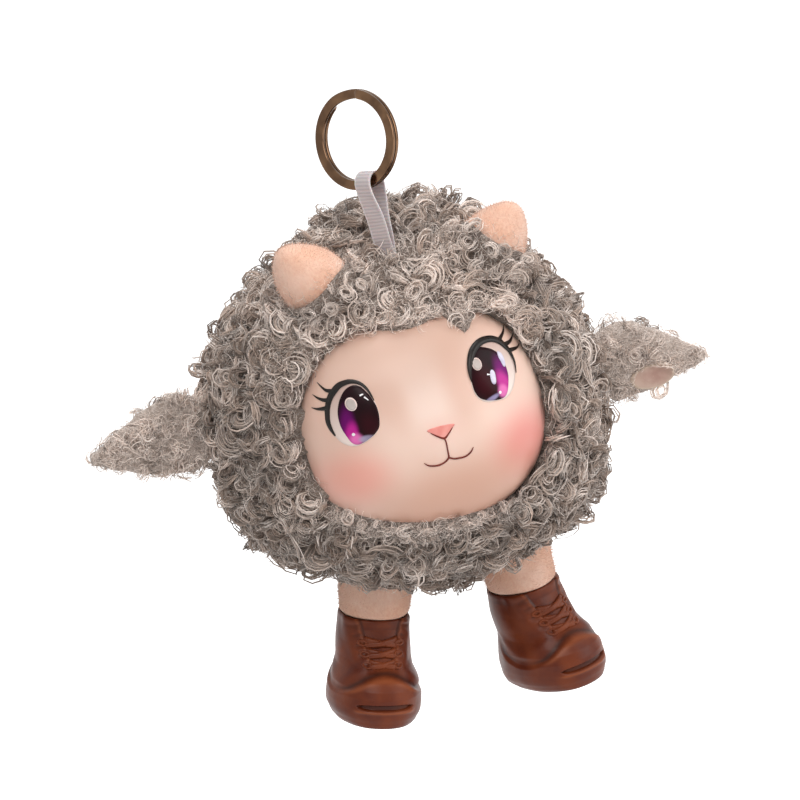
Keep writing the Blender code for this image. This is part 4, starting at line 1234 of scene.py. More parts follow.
def grow_pile(base, group, look="fur", **inputs):
    """Runs the pile tree on a base surface. Returns its strands as blocks of points."""
    tree = shared("pile", pile_tree)
    host = bpy.data.objects.new("pile base", base)
    bpy.context.scene.collection.objects.link(host)
    growth = host.modifiers.new("pile", "NODES")
    growth.node_group = tree
    names = {item.name: item.identifier for item in tree.interface.items_tree if item.in_out == "INPUT"}
    growth[names["Strands"]] = group
    growth[names["Finish"]] = finish(look)
    for key, value in inputs.items():
        growth[names[key.replace("_", " ").capitalize()]] = value
    grown = bpy.data.meshes.new_from_object(host.evaluated_get(bpy.context.evaluated_depsgraph_get()))
    template = group.objects[0].data
    per = len(template.vertices)
    pile = {
        "blocks": read(grown.vertices, "co", 3).reshape(-1, per, 3).astype(float),
        "values": {label: read(grown.attributes[label].data, "value").reshape(-1, per) for label in ("along", "shade")},
        "loops": read(template.loops, "vertex_index", kind=np.int32),
        "counts": read(template.polygons, "loop_total", kind=np.int32),
    }
    bpy.data.objects.remove(host)
    bpy.data.meshes.remove(grown)
    return pile


def grow_hair(base, hairs, spacing, **inputs):
    """Hairs that stand each on its own."""
    return grow_pile(
        base, hairs, lock_spacing=spacing, strands_in_a_lock=1, lock_forms=1, strands_in_a_form=len(hairs.objects),
        **inputs,
    )


def tint_pile(pile, more):
    pile["values"]["shade"] = pile["values"]["shade"] + more


def by_strand(blocks, measure):
    """A measure of each point, with one row for each strand."""
    return measure(blocks.reshape(-1, 3)).reshape(blocks.shape[:2])


def thin_pile(pile, keep):
    pile["blocks"] = pile["blocks"][keep]
    for label in pile["values"]:
        pile["values"][label] = pile["values"][label][keep]


def pile_mesh(*piles):
    """One plain mesh from strand blocks, with a cell of the bake map for each strand."""
    verts, loops, counts, uvs, first = [], [], [], [], 0
    values = {"along": [], "shade": []}
    strands = sum(len(p["blocks"]) for p in piles)
    columns = max(1, math.ceil(math.sqrt(strands)))
    cell = 1.0 / columns
    done = 0
    for pile in piles:
        n, per = pile["blocks"].shape[:2]
        if n == 0:
            continue
        verts.append(pile["blocks"].reshape(-1, 3))
        offsets = first + per * np.arange(n)
        loops.append((pile["loops"][None] + offsets[:, None]).ravel())
        counts.append(np.tile(pile["counts"], n))
        for label in values:
            values[label].append(pile["values"][label].ravel())
        quads = int((pile["counts"] == 4).sum())
        rows = quads // 3
        corner = np.zeros((len(pile["loops"]), 2))
        for q in range(quads):
            row, column = divmod(q, 3)
            box = ((column, row), (column + 1, row), (column + 1, row + 1), (column, row + 1))
            corner[4 * q : 4 * q + 4] = [
                ((0.15 + x * 0.82) / 3.3 + 0.02, (0.1 + y * 0.86) / (rows + 1.2) + 0.02) for x, y in box
            ]
        for t in range(len(pile["counts"]) - quads):
            low = (rows + 0.15) / (rows + 1.2)
            corner[4 * quads + 3 * t : 4 * quads + 3 * t + 3] = [
                (0.1 + 0.4 * t, low), (0.35 + 0.4 * t, low), (0.1 + 0.4 * t, low + 0.8 / (rows + 1.2)),
            ]
        places = done + np.arange(n)
        origin = np.stack([places % columns, places // columns], 1) * cell
        uvs.append((origin[:, None] + corner[None] * cell).reshape(-1, 2))
        done += n
        first += n * per
    mesh = fill_mesh(np.concatenate(verts), np.concatenate(loops), np.concatenate(counts))
    for label in values:
        mark(mesh, label, np.concatenate(values[label]))
    lay_map(mesh, "OFBake", np.concatenate(uvs))
    return mesh


def add_lock(pile, paths, radius, place, dice):
    """Adds one more lock at a given place to a pile."""
    made = []
    for path in paths:
        s = np.linspace(0, 1, len(path))
        verts, _ = tube(path + dice.uniform(-0.25, 0.25, 3) * MM, radius * (1.15 - 0.7 * s), 1.3)
        made.append(place_many(verts, place))
        more = {"along": np.repeat(s, 3)[None], "shade": np.full((1, 3 * len(s)), dice.uniform(0.5, 1.0))}
        for label, values in more.items():
            pile["values"][label] = np.concatenate([pile["values"][label], values])
    pile["blocks"] = np.concatenate([pile["blocks"], np.array(made)])


def drop_forms(*groups):
    for group in groups:
        for obj in list(group.objects):
            bpy.data.objects.remove(obj)
        bpy.data.collections.remove(group)


# Where the pile stays away


def bare_reach(x, z):
    """How far the bare face reaches from its middle, in the direction of each point."""
    edge = np.array(BARE_FACE)
    turn = np.arctan2(edge[:, 1], edge[:, 0])
    order = np.argsort(turn)
    turn, reach = turn[order], np.hypot(edge[:, 0], edge[:, 1])[order]
    turn = np.concatenate([turn - 2 * math.pi, turn, turn + 2 * math.pi])
    return np.interp(np.arctan2(z, x), turn, np.tile(reach, 3))


def rim_reach(x, z):
    angle = np.arctan2(z, x)
    c, s = np.abs(np.cos(angle)) / FACE_HALF_WIDTH, np.abs(np.sin(angle)) / FACE_HALF_HEIGHT
    return (c**FACE_FULLNESS + s**FACE_FULLNESS) ** (-1 / FACE_FULLNESS)


def over_face(points):
    """How far inside the bare face's edge each point lies as the maker looks at the face, in millimetres."""
    local = seen_from(points, FACE)
    look = np.array(FACE.to_3x3().inverted() @ PHOTO_LOOK)
    x, y, z = local.T
    ahead = (y < 0.5) & (np.hypot(x, z) < 60)
    px, pz = x.copy(), z.copy()
    for _ in range(4):
        step = (-face_front(px, pz) - y) / look[1]
        px, pz = x + look[0] * step, z + look[2] * step
    inside = bare_reach(px, pz) - np.hypot(px, pz)
    return np.where(ahead, inside, -99.0)


def clear_of_skin(points, gap):
    """Moves points that lie in the face out in front of it."""
    local = seen_from(points, FACE)
    x, y, z = local.T
    within = (np.hypot(x, z) < rim_reach(x, z)) & (y < 2.0)
    front = -face_front(x, z) - gap
    local[:, 1] = np.where(within & (y > front), front, y)
    return set_at(local, FACE)


def horn_place(label):
    direction, axis = HORNS[label]
    base = plump(direction, BACKING_HALVES) * MM
    turn = Vector((0, 0, 1)).rotation_difference(Vector(axis).normalized()).to_matrix().to_4x4()
    return BALL @ Matrix.Translation(base) @ turn


def hip_place(label):
    leg = LEGS[label]
    hip = BALL @ Matrix.Translation(Vector(leg["hip"]) * MM)
    return hip @ Matrix.Rotation(math.radians(-leg["side"] * leg["splay"]), 4, "Y")


def boot_place(label):
    leg = LEGS[label]
    turn = Matrix.Rotation(math.radians(leg["side"] * leg["toe_out"]), 4, "Z")
    return hip_place(label) @ Matrix.Translation((0, 0, -leg["length"] * MM)) @ turn


def ear_place(label):
    side, rise, droop, _ = EARS[label]
    hinge = BALL @ Matrix.Translation((side * EAR_HINGE[0] * MM, EAR_HINGE[1] * MM, rise * MM))
    return hinge @ Matrix.Rotation(math.radians(side * droop), 4, "Y")


def blocked(points):
    """True where a point lies in a horn, a leg or the ribbon's path."""
    hit = np.zeros(len(points), bool)
    for label in HORNS:
        x, y, z = seen_from(points, horn_place(label)).T
        limit = read_table(HORN_SHARES, z / HORN_LENGTH)[0] * HORN_RADIUS
        hit |= (np.hypot(x, y) < limit + 0.1) & (z > 2.0) & (z < HORN_LENGTH + 0.5)
    clear = LEG_RADIUS + LEG_CURLS_CLEAR
    for label in LEGS:
        local = seen_from(points, hip_place(label))
        x, y, z = local.T
        hit |= (np.hypot(x, y) < clear) & (z < 0)
        hit |= np.linalg.norm(local, axis=1) < clear
    x, y, z = seen_from(points, Matrix.Translation(PIVOT) @ YAW).T
    hit |= (np.abs(x) < 2.7) & (np.abs(y) < 1.8) & (z > -2.0)
    return hit


def tend_pile(pile, edge_slack, seed, touch=0.08):
    """Combs strands back from the bare face, drops those in a horn, a leg or the ribbon, and clears the skin."""
    blocks = pile["blocks"]
    if len(blocks) == 0:
        return
    slack = np.random.default_rng(seed).uniform(0.1, edge_slack, len(blocks))
    for _ in range(2):
        move = np.clip(by_strand(blocks, over_face).max(1) - slack, 0.0, 5.0) * MM
        local = place_many(blocks.mean(1), FACE.inverted())
        local[:, 1] = 0.0
        away = local / np.maximum(np.linalg.norm(local, axis=1), 1e-9)[:, None]
        away = away @ np.array(FACE.to_3x3()).T
        blocks = blocks + (away * move[:, None])[:, None]
    pile["blocks"] = blocks
    inside = by_strand(blocks, over_face).max(1)
    thin_pile(pile, (inside < slack + 0.6) & (by_strand(blocks, blocked).mean(1) < touch))
    pile["blocks"] = clear_of_skin(pile["blocks"].reshape(-1, 3), 0.25).reshape(-1, *blocks.shape[1:])


REGIONS = {
    "fur_crown": (0.0, 0.0, 1.0),
    "fur_brow": (0.0, -0.75, 0.62),
    "fur_left_cheek": (-0.85, -0.5, -0.1),
    "fur_right_cheek": (0.85, -0.5, -0.1),
    "fur_chin": (0.0, -0.75, -0.66),
    "fur_left_side": (-0.85, 0.4, 0.15),
    "fur_right_side": (0.85, 0.4, 0.15),
    "fur_back_left": (-0.45, 0.85, 0.35),
    "fur_back_right": (0.45, 0.85, 0.35),
    "fur_back_low": (0.0, 0.85, -0.45),
    "fur_seat": (0.0, 0.1, -1.0),
}


def ball_grid(step):
    """Directions and faces of an even ball."""
    bm = bmesh.new()
    bmesh.ops.create_icosphere(bm, subdivisions=step, radius=1.0)
    bm.verts.ensure_lookup_table()
    directions = np.array([v.co[:] for v in bm.verts])
    faces = [tuple(v.index for v in f.verts) for f in bm.faces]
    bm.free()
    return directions, faces


def region_bases():
    """The pile's base surface, cut into regions, without the face, horns and leg roots."""
    directions, faces = ball_grid(5)
    grown = plump_many(directions, BACKING_HALVES) + directions * pile_rise(directions)[:, None]
    points = set_at(grown, BALL)
    faces = np.array(faces)
    middles = points[faces].mean(1)
    x, y, z = seen_from(middles, FACE).T
    keep = (np.hypot(x, z) >= rim_reach(x, z) - 0.3) | (y >= 1.0) | (y <= -face_front(x, z))
    for label in HORNS:
        x, y, z = seen_from(middles, horn_place(label)).T
        keep &= (np.hypot(x, y) >= 7.0) | (np.abs(z) >= 8)
    for label in LEGS:
        x, y, z = seen_from(middles, hip_place(label)).T
        keep &= (np.hypot(x, y) >= 8.6) | (z >= 2)
    normals = directions[faces].mean(1)
    names = list(REGIONS)
    aims = np.array([np.array(REGIONS[n]) / np.linalg.norm(REGIONS[n]) for n in names])
    nearest = (normals @ aims.T).argmax(1)
    bases = {}
    for number, name in enumerate(names):
        chosen = faces[keep & (nearest == number)]
        used, renumbered = np.unique(chosen, return_inverse=True)
        bases[name] = mesh_from(points[used], [tuple(f) for f in renumbered.reshape(-1, 3)])
    return bases


def fringe_strip(inner_extra):
    """The part of the face's rim that the fringe lies on, from the bare face's edge out to the rim."""
    angles = np.linspace(-math.pi, math.pi, 160, endpoint=False)
    c, s = np.cos(angles), np.sin(angles)
    outer = rim_reach(c, s) * 0.995
    inner = np.minimum(bare_reach(c, s) + inner_extra, outer - 0.4)
    rows = 7
    points = []
    for r in range(rows):
        reach = inner + (outer - inner) * r / (rows - 1)
        x, z = c * reach, s * reach
        y = -(face_front(x, z) + MAT_LIFT * math.sin(math.pi * (r + 0.6) / (rows + 0.2)))
        points.append(np.stack([x, y, z], 1))
    verts = set_at(np.concatenate(points), FACE)
    faces = loft_faces(rows, len(angles), False)

    def change(bm):
        outward = sum(f.normal.dot(f.calc_center_median() - FACE.translation) for f in bm.faces)
        if outward < 0:
            bmesh.ops.reverse_faces(bm, faces=bm.faces)

    return edit_mesh(mesh_from(verts, faces), change)


def horn_collar(label, veil=False):
    """A low wall round a horn's foot, higher towards the face, that carries curls, or a band over it for loose hair."""
    place = horn_place(label)
    down = (place.to_3x3().inverted() @ (FACE.to_3x3() @ Vector(COLLAR_AIM[label]))).normalized()
    low, high = COLLAR_HEIGHTS[label]
    count, rows = 48, 7
    points = []
    for r in range(rows):
        for k in range(count):
            turn = 2 * math.pi * k / count
            out = Vector((math.cos(turn), math.sin(turn), 0))
            front = ease(0.5 + 0.75 * out.dot(down))
            step = r / (rows - 1)
            if veil:
                height = low + high * front + VEIL_REACH * step * front
                reach = HORN_RADIUS * read_table(HORN_SHARES, height / HORN_LENGTH)[0]
            else:
                height = 1.0 + (low + high * front) * step
                reach = HORN_RADIUS + 0.6 - 0.12 * max(height - 8.0, 0.0)
            points.append((out.x * reach, out.y * reach, height))
    mesh = mesh_from(set_at(points, place), loft_faces(rows, count, False))
    axis = place.to_3x3() @ Vector((0, 0, 1))
    middle = mesh.polygons[0].center - place.translation
    middle -= axis * middle.dot(axis)
    if mesh.polygons[0].normal.dot(middle) < 0:
        mesh.flip_normals()
    return mesh


def add_mat(name, strip, thickness):
    """Thickens an open strip to a layer of matted undercoat."""

    def change(bm):
        bmesh.ops.subdivide_edges(bm, edges=bm.edges, cuts=1, use_grid_fill=True)
        bm.normal_update()
        for v in bm.verts:
            v.co += v.normal * 0.35 * MM * noise.fractal(v.co * 900.0, 0.8, 2.0, 2)
        bmesh.ops.solidify(bm, geom=bm.faces[:], thickness=thickness * MM)
        bmesh.ops.recalc_face_normals(bm, faces=bm.faces)

    edit_mesh(strip, change)
    strip.polygons.foreach_set("use_smooth", np.full(len(strip.polygons), True))
    new_piece(name, strip, "sheep", "undercoat", "grey_fur")


# Operators


class SHEEP_OT_key_ring(bpy.types.Operator):
    """Winds the split ring from flat steel wire with rounded edges"""

    bl_idname = "plush_sheep.key_ring"
    bl_label = "Key ring"

    def execute(self, context):
        rounding = 0.2
        corners = []
        for quarter, (side, way) in enumerate(((1, 1), (-1, 1), (-1, -1), (1, -1))):
            for k in range(3):
                turn = math.pi / 2 * (quarter + k / 2)
                x = side * (RING_BAND / 2 - rounding) + rounding * math.cos(turn)
                y = way * (RING_THICKNESS / 2 - rounding) + rounding * math.sin(turn)
                corners.append((x, y))
        first, last = math.radians(5), math.radians(684)
        low, high = math.radians(328), math.radians(362)
        count = 300
        rings = []
        for i in range(count + 1):
            turn = first + (last - first) * i / count
            layer = RING_SPACING * (ease((turn - low) / (high - low)) - 0.5)
            out = np.array((math.sin(turn), 0, math.cos(turn)))
            end = min(i, count - i)
            shrink = (0.45, 0.8, 0.95)[end] if end < 3 else 1.0
            rings.append([out * (BAND_RADIUS + a * shrink) + np.array((0, layer + b * shrink, 0)) for a, b in corners])
        place = HANGER @ Matrix.Translation((0, 0, -RING_INNER * MM))
        mesh = lofted([set_at(ring, place) for ring in rings])
        mesh.set_sharp_from_angle(angle=math.radians(40))
        new_piece("key_ring_wire", mesh, "key_ring", "steel", "steel", "key_ring")
        return {"FINISHED"}


class SHEEP_OT_ribbon(bpy.types.Operator):
    """Folds one satin ribbon through the ring and down into the pile"""

    bl_idname = "plush_sheep.ribbon"
    bl_label = "Ribbon"

    def execute(self, context):
        half = RIBBON_SOLID_HALF
        edge = RING_INNER - math.sqrt(RING_INNER**2 - half**2) + half * math.tan(RIBBON_SEAT_TURN)
        fold = math.hypot(RING_BAND / 2 + edge, (RING_SPACING + RING_THICKNESS) / 2) + 0.3 + 0.45 / 2
        bottom = -RIBBON_LENGTH - RIBBON_HIDDEN
        strand = []
        for i in range(26):
            share = i / 26
            z = bottom * (1 - share)
            spread = ease((z + RIBBON_LENGTH) / RIBBON_LENGTH)
            low = STRAND_GAP * ease((z + RIBBON_LENGTH + 6.0) / 7.0) + 0.28
            strand.append((low + (fold - low) * spread, z))
        over = [(-fold * math.cos(math.pi * i / 24), fold * math.sin(math.pi * i / 24)) for i in range(25)]
        path = np.array([(-y, z) for y, z in strand] + over + list(reversed(strand)))
        length = np.concatenate([[0], np.cumsum(np.linalg.norm(np.diff(path, axis=0), axis=1))])
        along = np.gradient(path, axis=0)
        along /= np.linalg.norm(along, axis=1)[:, None]
        normal = np.stack([-along[:, 1], along[:, 0]], 1)
        across = np.array((-2.0, -1.95, -1.3, 0.0, 1.3, 1.95, 2.0)) * RIBBON_HALF / 2
        lift = np.array((0.0, 0.5, 0.5, 0.5, 0.5, 0.5, 0.0)) * RIBBON_THICKNESS
        top = list(zip(across, lift))
        outline = top + [(a, -h) for a, h in top[-2:0:-1]]
        rings = []
        for p, n, d in zip(path, normal, length):
            bow = 0.12 * math.sin(d * 0.55)
            turn = RIBBON_TWIST * ease(-p[1] / 10.0)
            ring = []
            for a, h in outline:
                out = h + bow * (1 - (a / RIBBON_HALF) ** 2)
                y, z = p[0] + n[0] * out, p[1] + n[1] * out
                ring.append((a * math.cos(turn) - y * math.sin(turn), a * math.sin(turn) + y * math.cos(turn), z))
            rings.append(ring)
        place = Matrix.Translation(BAND_SEAT) @ YAW
        count = len(outline)
        mesh = mesh_from(set_at(np.array(rings).reshape(-1, 3), place), loft_faces(len(rings), count))
        loops = read(mesh.loops, "vertex_index", kind=np.int32)
        lay_map(mesh, "ribbon", np.stack([np.array([a for a, _ in outline])[loops % count], length[loops // count]], 1))
        face_outwards(mesh, merge=False)
        mesh.set_sharp_from_angle(angle=math.radians(50))
        obj = new_piece("satin_ribbon", mesh, None, "ribbon", "ribbon", "ribbon_loop", "ribbon_tab")
        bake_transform(obj)
        return {"FINISHED"}


class SHEEP_OT_fur(bpy.types.Operator):
    """Covers the ball with its undercoat, locks of curls and fine frizz"""

    bl_idname = "plush_sheep.fur"
    bl_label = "Curly fur"

    def execute(self, context):
        directions, faces = ball_grid(6)
        lumps = np.array([noise.fractal(Vector(d) * 9.0, 0.8, 2.0, 3) for d in directions])
        base = plump_many(directions, BACKING_HALVES)
        base += directions * (pile_rise(directions) + MAT_RISE + 1.2 * lumps)[:, None]
        points = set_at(base, BALL)
        local = seen_from(points, FACE)
        x, y, z = local.T
        sink = (y < 0) & (np.hypot(x, z) < rim_reach(x, z) - 0.2)
        front = 0.8 - face_front(x, z)
        local[:, 1] = np.where(sink & (y < front), front, y)
        mesh = face_outwards(mesh_from(set_at(local, FACE), faces))
        coat = new_piece("fur_undercoat", mesh, "sheep", "undercoat", "grey_fur", "fur_body", "body_stuffing")

        add_mat("fringe_mat", fringe_strip(0.5), MAT_LIFT)

        s = sizes()
        dice = np.random.default_rng(7)
        forms = range(len(CURL_FORMS))
        curl_paths = [curl_path(f, k, s.curl_radius, dice) for f in forms for k in range(FORM_STRANDS)]
        curls = strand_forms("curl", curl_paths, s.strand_radius, 0.35, 1.8)
        frizz = strand_forms("frizz", [frizz_path(dice) for _ in range(HAIR_FORMS)], s.strand_radius * 0.5, 0.4)
        grow = 1.0
        curl_gap, hair_gap = s.curl_spacing * grow, s.frizz_spacing * grow
        piles = {}
        for number, (name, base) in enumerate(region_bases().items()):
            curl_share, hair_share = (1.25, 0.62) if name == "fur_brow" else (1.0, 1.0)
            locks = grow_pile(
                base, curls, lock_spacing=curl_gap * curl_share, strands_in_a_lock=s.locks_of, seed=number + 3
            )
            tend_pile(locks, 1.8, number)
            fine = grow_hair(base, frizz, hair_gap * hair_share, lock_lean=0.4, strand_turn=0.3, seed=number + 40)
            tend_pile(fine, 2.6, number + 20)
            piles[name] = [locks, fine]
        edge = fringe_strip(0.2)
        locks = grow_pile(
            edge, curls, lock_spacing=curl_gap * 0.80, strands_in_a_lock=6, smallest=0.38, largest=0.72, lock_lean=0.2,
            seed=91,
        )
        tend_pile(locks, 1.8, 60)
        fine = grow_hair(edge, frizz, hair_gap * 0.44, lock_lean=0.3, smallest=0.4, largest=0.8, seed=92)
        tend_pile(fine, 2.8, 61)
        piles["fur_fringe"] = [locks, fine]
        for number, label in enumerate(HORNS):
            collar = horn_collar(label)
            add_mat(f"{label}_collar_mat", collar.copy(), 0.5)
            sizes_of = {"smallest": 0.5, "largest": 0.9}
            locks = grow_pile(
                collar, curls, lock_spacing=curl_gap * 0.9, strands_in_a_lock=s.locks_of, lock_lean=0.25,
                seed=95 + number, **sizes_of,
            )
            tend_pile(locks, 1.0, 70 + number)
            fine = grow_hair(collar, frizz, hair_gap * 0.8, lock_lean=0.5, seed=97 + number, **sizes_of)
            tend_pile(fine, 1.0, 80 + number, 0.6)
            veil = grow_hair(
                horn_collar(label, True), frizz, hair_gap * 0.75, lock_lean=1.1, smallest=0.35, largest=0.7,
                seed=99 + number,
            )
            piles[f"fur_{label}_collar"] = [locks, fine, veil]
        drop_forms(curls, frizz)
        # Painted light: these regions' fur is made lighter, as if lit from above.
        light = ("fur_brow", "fur_fringe", "fur_left_collar", "fur_right_collar")
        for name, parts in piles.items():
            for pile in parts[1:]:
                tint_pile(pile, FRIZZ_LIGHT)
            if name in light:
                for pile in parts:
                    tint_pile(pile, BROW_PAINTED_LIGHT)
            new_piece(name, pile_mesh(*parts), "sheep", "fur", "grey_fur")
        return {"FINISHED"}


def ear_thickness(along):
    return EAR_THICKNESS[0] + (EAR_THICKNESS[1] - EAR_THICKNESS[0]) * along


def ear_drop(along):
    return -0.5 * (np.maximum(along, 0.0) / EAR_LENGTH) ** 2


def ear_leaf(label):
    """The padded fur leaf of an ear."""
    side, place = EARS[label][0], ear_place(label)
    roots = np.linspace(0.12, math.pi / 2, 5)
    rows = [(-EAR_ROOT * math.cos(a), EAR_ROOT * math.sin(a), EAR_THICKNESS[0]) for a in roots]
    for along, height in round_curve(EAR_SHARES, 26, False):
        rows.append((EAR_LENGTH * along, EAR_HALF_HEIGHT * height, ear_thickness(along)))
    rings = []
    for x, half_height, thick in rows:
        ring = oval_ring(thick / 2 * 0.62, half_height * 0.90, 2.6, 28)
        rings.append(set_at([(side * x * 0.965, y, ear_drop(x) + z) for y, z in ring], place))

    def roughen(bm):
        for v in bm.verts:
            lump = 0.8 * noise.noise(v.co * 260.0) + 0.3 * noise.fractal(v.co * 600.0, 0.8, 2.0, 3)
            v.co += v.normal * MM * lump

    return edit_mesh(lofted(rings), roughen)


def ear_pad(label):
    """The pink lining on the lower half of an ear, with its pale rim marked."""
    side, _, _, lining_side = EARS[label]
    c, s = math.cos(LINING_TILT), math.sin(LINING_TILT)
    outline = [(a * c - b * s, a * s + b * c) for a, b in oval_ring(*LINING_HALVES, 2.1, 40)]
    halves = [(EAR_LENGTH * along, ear_thickness(along) / 2) for along, _ in EAR_SHARES]
    rings, shown = [], []
    # Share of the outline, height over the leaf and how much of the rim's colour shows
    for share, height, rim in (
        (1.0, -0.5, 1.0), (1.0, 0.25, 1.0), (0.93, 0.5, 1.0), (0.84, 0.58, 0.2), (0.4, 0.66, 0.0), (0.02, 0.66, 0.0),
    ):
        ring = []
        for a, b in outline:
            x = LINING_MIDDLE[0] + a * share
            y = lining_side * (read_table(halves, x)[0] * 0.62 + height)
            ring.append((side * x, y, LINING_MIDDLE[1] + ear_drop(x) + b * share))
        rings.append(set_at(ring, ear_place(label)))
        shown += [rim] * len(ring)
    mesh = lofted(rings)
    mark(mesh, "rim", np.resize(shown, len(mesh.vertices)))
    return mesh


def trim_ear(pile, label, allowed):
    """Drops strands over the lining, inside the ball and far outside the ear."""
    side, _, _, lining_side = EARS[label]
    n, per = pile["blocks"].shape[:2]
    x, y, z = (seen_from(pile["blocks"].reshape(-1, 3), ear_place(label)) * (side, lining_side, 1)).T
    across = (x - LINING_MIDDLE[0]) / (LINING_HALVES[0] - 0.9)
    up = (z - LINING_MIDDLE[1] + 1.0) / (LINING_HALVES[1] + 0.3)
    over = (across**2 + up**2 < 1) & (y > 0.3)
    half = EAR_HALF_HEIGHT * read_table(EAR_SHARES, x / EAR_LENGTH)[0]
    stray = (x > 6.0) & ((np.abs(z - ear_drop(x)) > half + 0.9) | (x > EAR_LENGTH + 0.8))
    over, inner, stray = (hit.reshape(n, per).mean(1) for hit in (over, x < -1.5, stray))
    thin_pile(pile, (over < allowed) & (inner < 0.5) & (stray <= 0.15))


class SHEEP_OT_ears(bpy.types.Operator):
    """Makes each ear's padded leaf, its pink lining and its curls"""

    bl_idname = "plush_sheep.ears"
    bl_label = "Ears"

    def execute(self, context):
        s = sizes()
        dice = np.random.default_rng(23)
        rings = [curl_path(1, k, s.curl_radius * 0.6, dice) for k in range(FORM_STRANDS)]
        wisps = [wisp_path(dice) for _ in range(24)]
        curls = strand_forms("ear curl", wisps + rings, s.strand_radius * 0.85, 0.35, 1.3)
        frizz = strand_forms("ear frizz", [frizz_path(dice) for _ in range(HAIR_FORMS)], s.strand_radius * 0.5, 0.4)
        grow = 1.0
        for label, (side, _, _, lining_side) in EARS.items():
            ear = f"ear_{label}"
            mesh = ear_leaf(label)
            new_piece(f"{ear}_leaf", mesh, ear, "ear coat", "grey_fur", ear)
            pad = new_piece(f"{ear}_pad", ear_pad(label), ear, "ear lining", "pink_plush", f"{ear}_lining")
            locks = grow_pile(
                mesh, curls, lock_spacing=s.curl_spacing * 0.74 * grow, strands_in_a_lock=8, lock_forms=5,
                strand_spread=0.0007, smallest=0.7, largest=1.1, seed=61 + side,
            )
            fine = grow_hair(
                mesh, frizz, s.frizz_spacing * 0.44 * grow, lock_lean=0.8, smallest=0.3, largest=0.7, seed=71 + side
            )
            trim_ear(locks, label, 0.05)
            trim_ear(fine, label, 0.02)
            if lining_side < 0:
                place = ear_place(label) @ Matrix.Translation(Vector(HANGING_CURL) * MM)
                add_lock(locks, [hanging_path(k) for k in range(12)], s.strand_radius, place, dice)
            tint_pile(locks, EAR_LIGHT)
            tint_pile(fine, EAR_LIGHT)
            new_piece(f"{ear}_curls", pile_mesh(locks, fine), ear, "fur", "grey_fur")
        drop_forms(curls, frizz)
        return {"FINISHED"}


class SHEEP_OT_face(bpy.types.Operator):
    """Moulds the vinyl face and paints its nose and mouth"""

    bl_idname = "plush_sheep.face"
    bl_label = "Face"

    def execute(self, context):
        steps, rows = 180, 72
        outline = oval_ring(FACE_HALF_WIDTH, FACE_HALF_HEIGHT, FACE_FULLNESS, steps)
        verts = [np.array([[0.0, -float(face_front(0, 0)), 0.0]])]
        for r in range(1, rows + 1):
            share = math.sin(math.pi / 2 * r / rows)
            x, z = outline[:, 0] * share, outline[:, 1] * share
            verts.append(np.stack([x, -face_front(x, z), z], 1))
        for share, back in ((0.997, 1.2), (0.985, 2.3), (0.94, 2.4)):
            verts.append(np.stack([outline[:, 0] * share, np.full(steps, back), outline[:, 1] * share], 1))
        mesh = mesh_from(set_at(np.concatenate(verts), FACE), dome_faces(len(verts) - 1, steps))
        new_piece("face_skin", print_map(face_outwards(mesh)), "sheep", "skin", "face_vinyl", "face_mask")
        nose = paint_patch(NOSE, 0.12, rings=6, steps=60)
        new_piece("nose_paint", nose, "sheep", "nose paint", "face_vinyl")
        mouth = paint_strokes((NOSE_LINE,) + MOUTH, 0.16)
        new_piece("mouth_paint", mouth, "sheep", "mouth paint", "face_vinyl")
        return {"FINISHED"}


def round_patch(x, z, half_width, half_height, lift, rings=4, steps=48):
    """A small oval patch of paint."""
    turns = np.linspace(0, 2 * math.pi, 12, endpoint=False)
    outline = [(x + half_width * math.cos(a), z + half_height * math.sin(a)) for a in turns]
    return paint_patch(outline, lift, rings, steps)


class SHEEP_OT_eyes(bpy.types.Operator):
    """Sets the domed glossy eyes with their irises, lids, lashes and glints"""

    bl_idname = "plush_sheep.eyes"
    bl_label = "Eyes"

    def execute(self, context):
        for label, eye in EYES.items():
            x, z, wide, high = eye["glint"]
            bead_x, bead_z, bead = eye["bead"]
            parts = [
                ("white", paint_patch(eye["white"], 0.10), "eye white"),
                ("iris", paint_patch(eye["iris"], 0.20), "iris"),
                ("lid", paint_strokes((eye["lid"],) + eye["lashes"], 0.28), "lash paint"),
                ("glint_rim", round_patch(x, z, wide, high, 0.26), "rim paint"),
                ("glint", round_patch(x, z, wide * 0.82, high * 0.86, 0.30), "glint paint"),
                ("bead", round_patch(bead_x, bead_z, bead, bead, 0.30, 3, 24), "bright paint"),
                ("dashes", paint_strokes(eye["dashes"], 0.28), "bright paint"),
            ]
            # Each shape in reflections is a painted reflection on the eye's dome.
            for number, shape in enumerate(eye["reflections"]):
                parts.append((f"shine_{number + 1}", paint_patch(shape, 0.26, 4, 48), "lilac paint"))
            for part, mesh, look in parts:
                nodes = (f"eye_{label}",) if part == "white" else ()
                new_piece(f"eye_{label}_{part}", mesh, "sheep", look, "eye_gloss", *nodes)
        return {"FINISHED"}


def turned_rings(profile, place, steps, wobble, seed):
    """Rings of a turned form with a soft hand-sewn unevenness."""
    rings = []
    turn = np.linspace(0, 2 * math.pi, steps, endpoint=False)
    for z, radius in profile:
        ring = []
        for a in turn:
            soft = noise.noise(Vector((math.cos(a) * 1.4 + seed, math.sin(a) * 1.4, z * 0.16)))
            r = radius * (1 + wobble * soft)
            ring.append((r * math.cos(a), r * math.sin(a), z))
        rings.append(set_at(ring, place))
    return rings


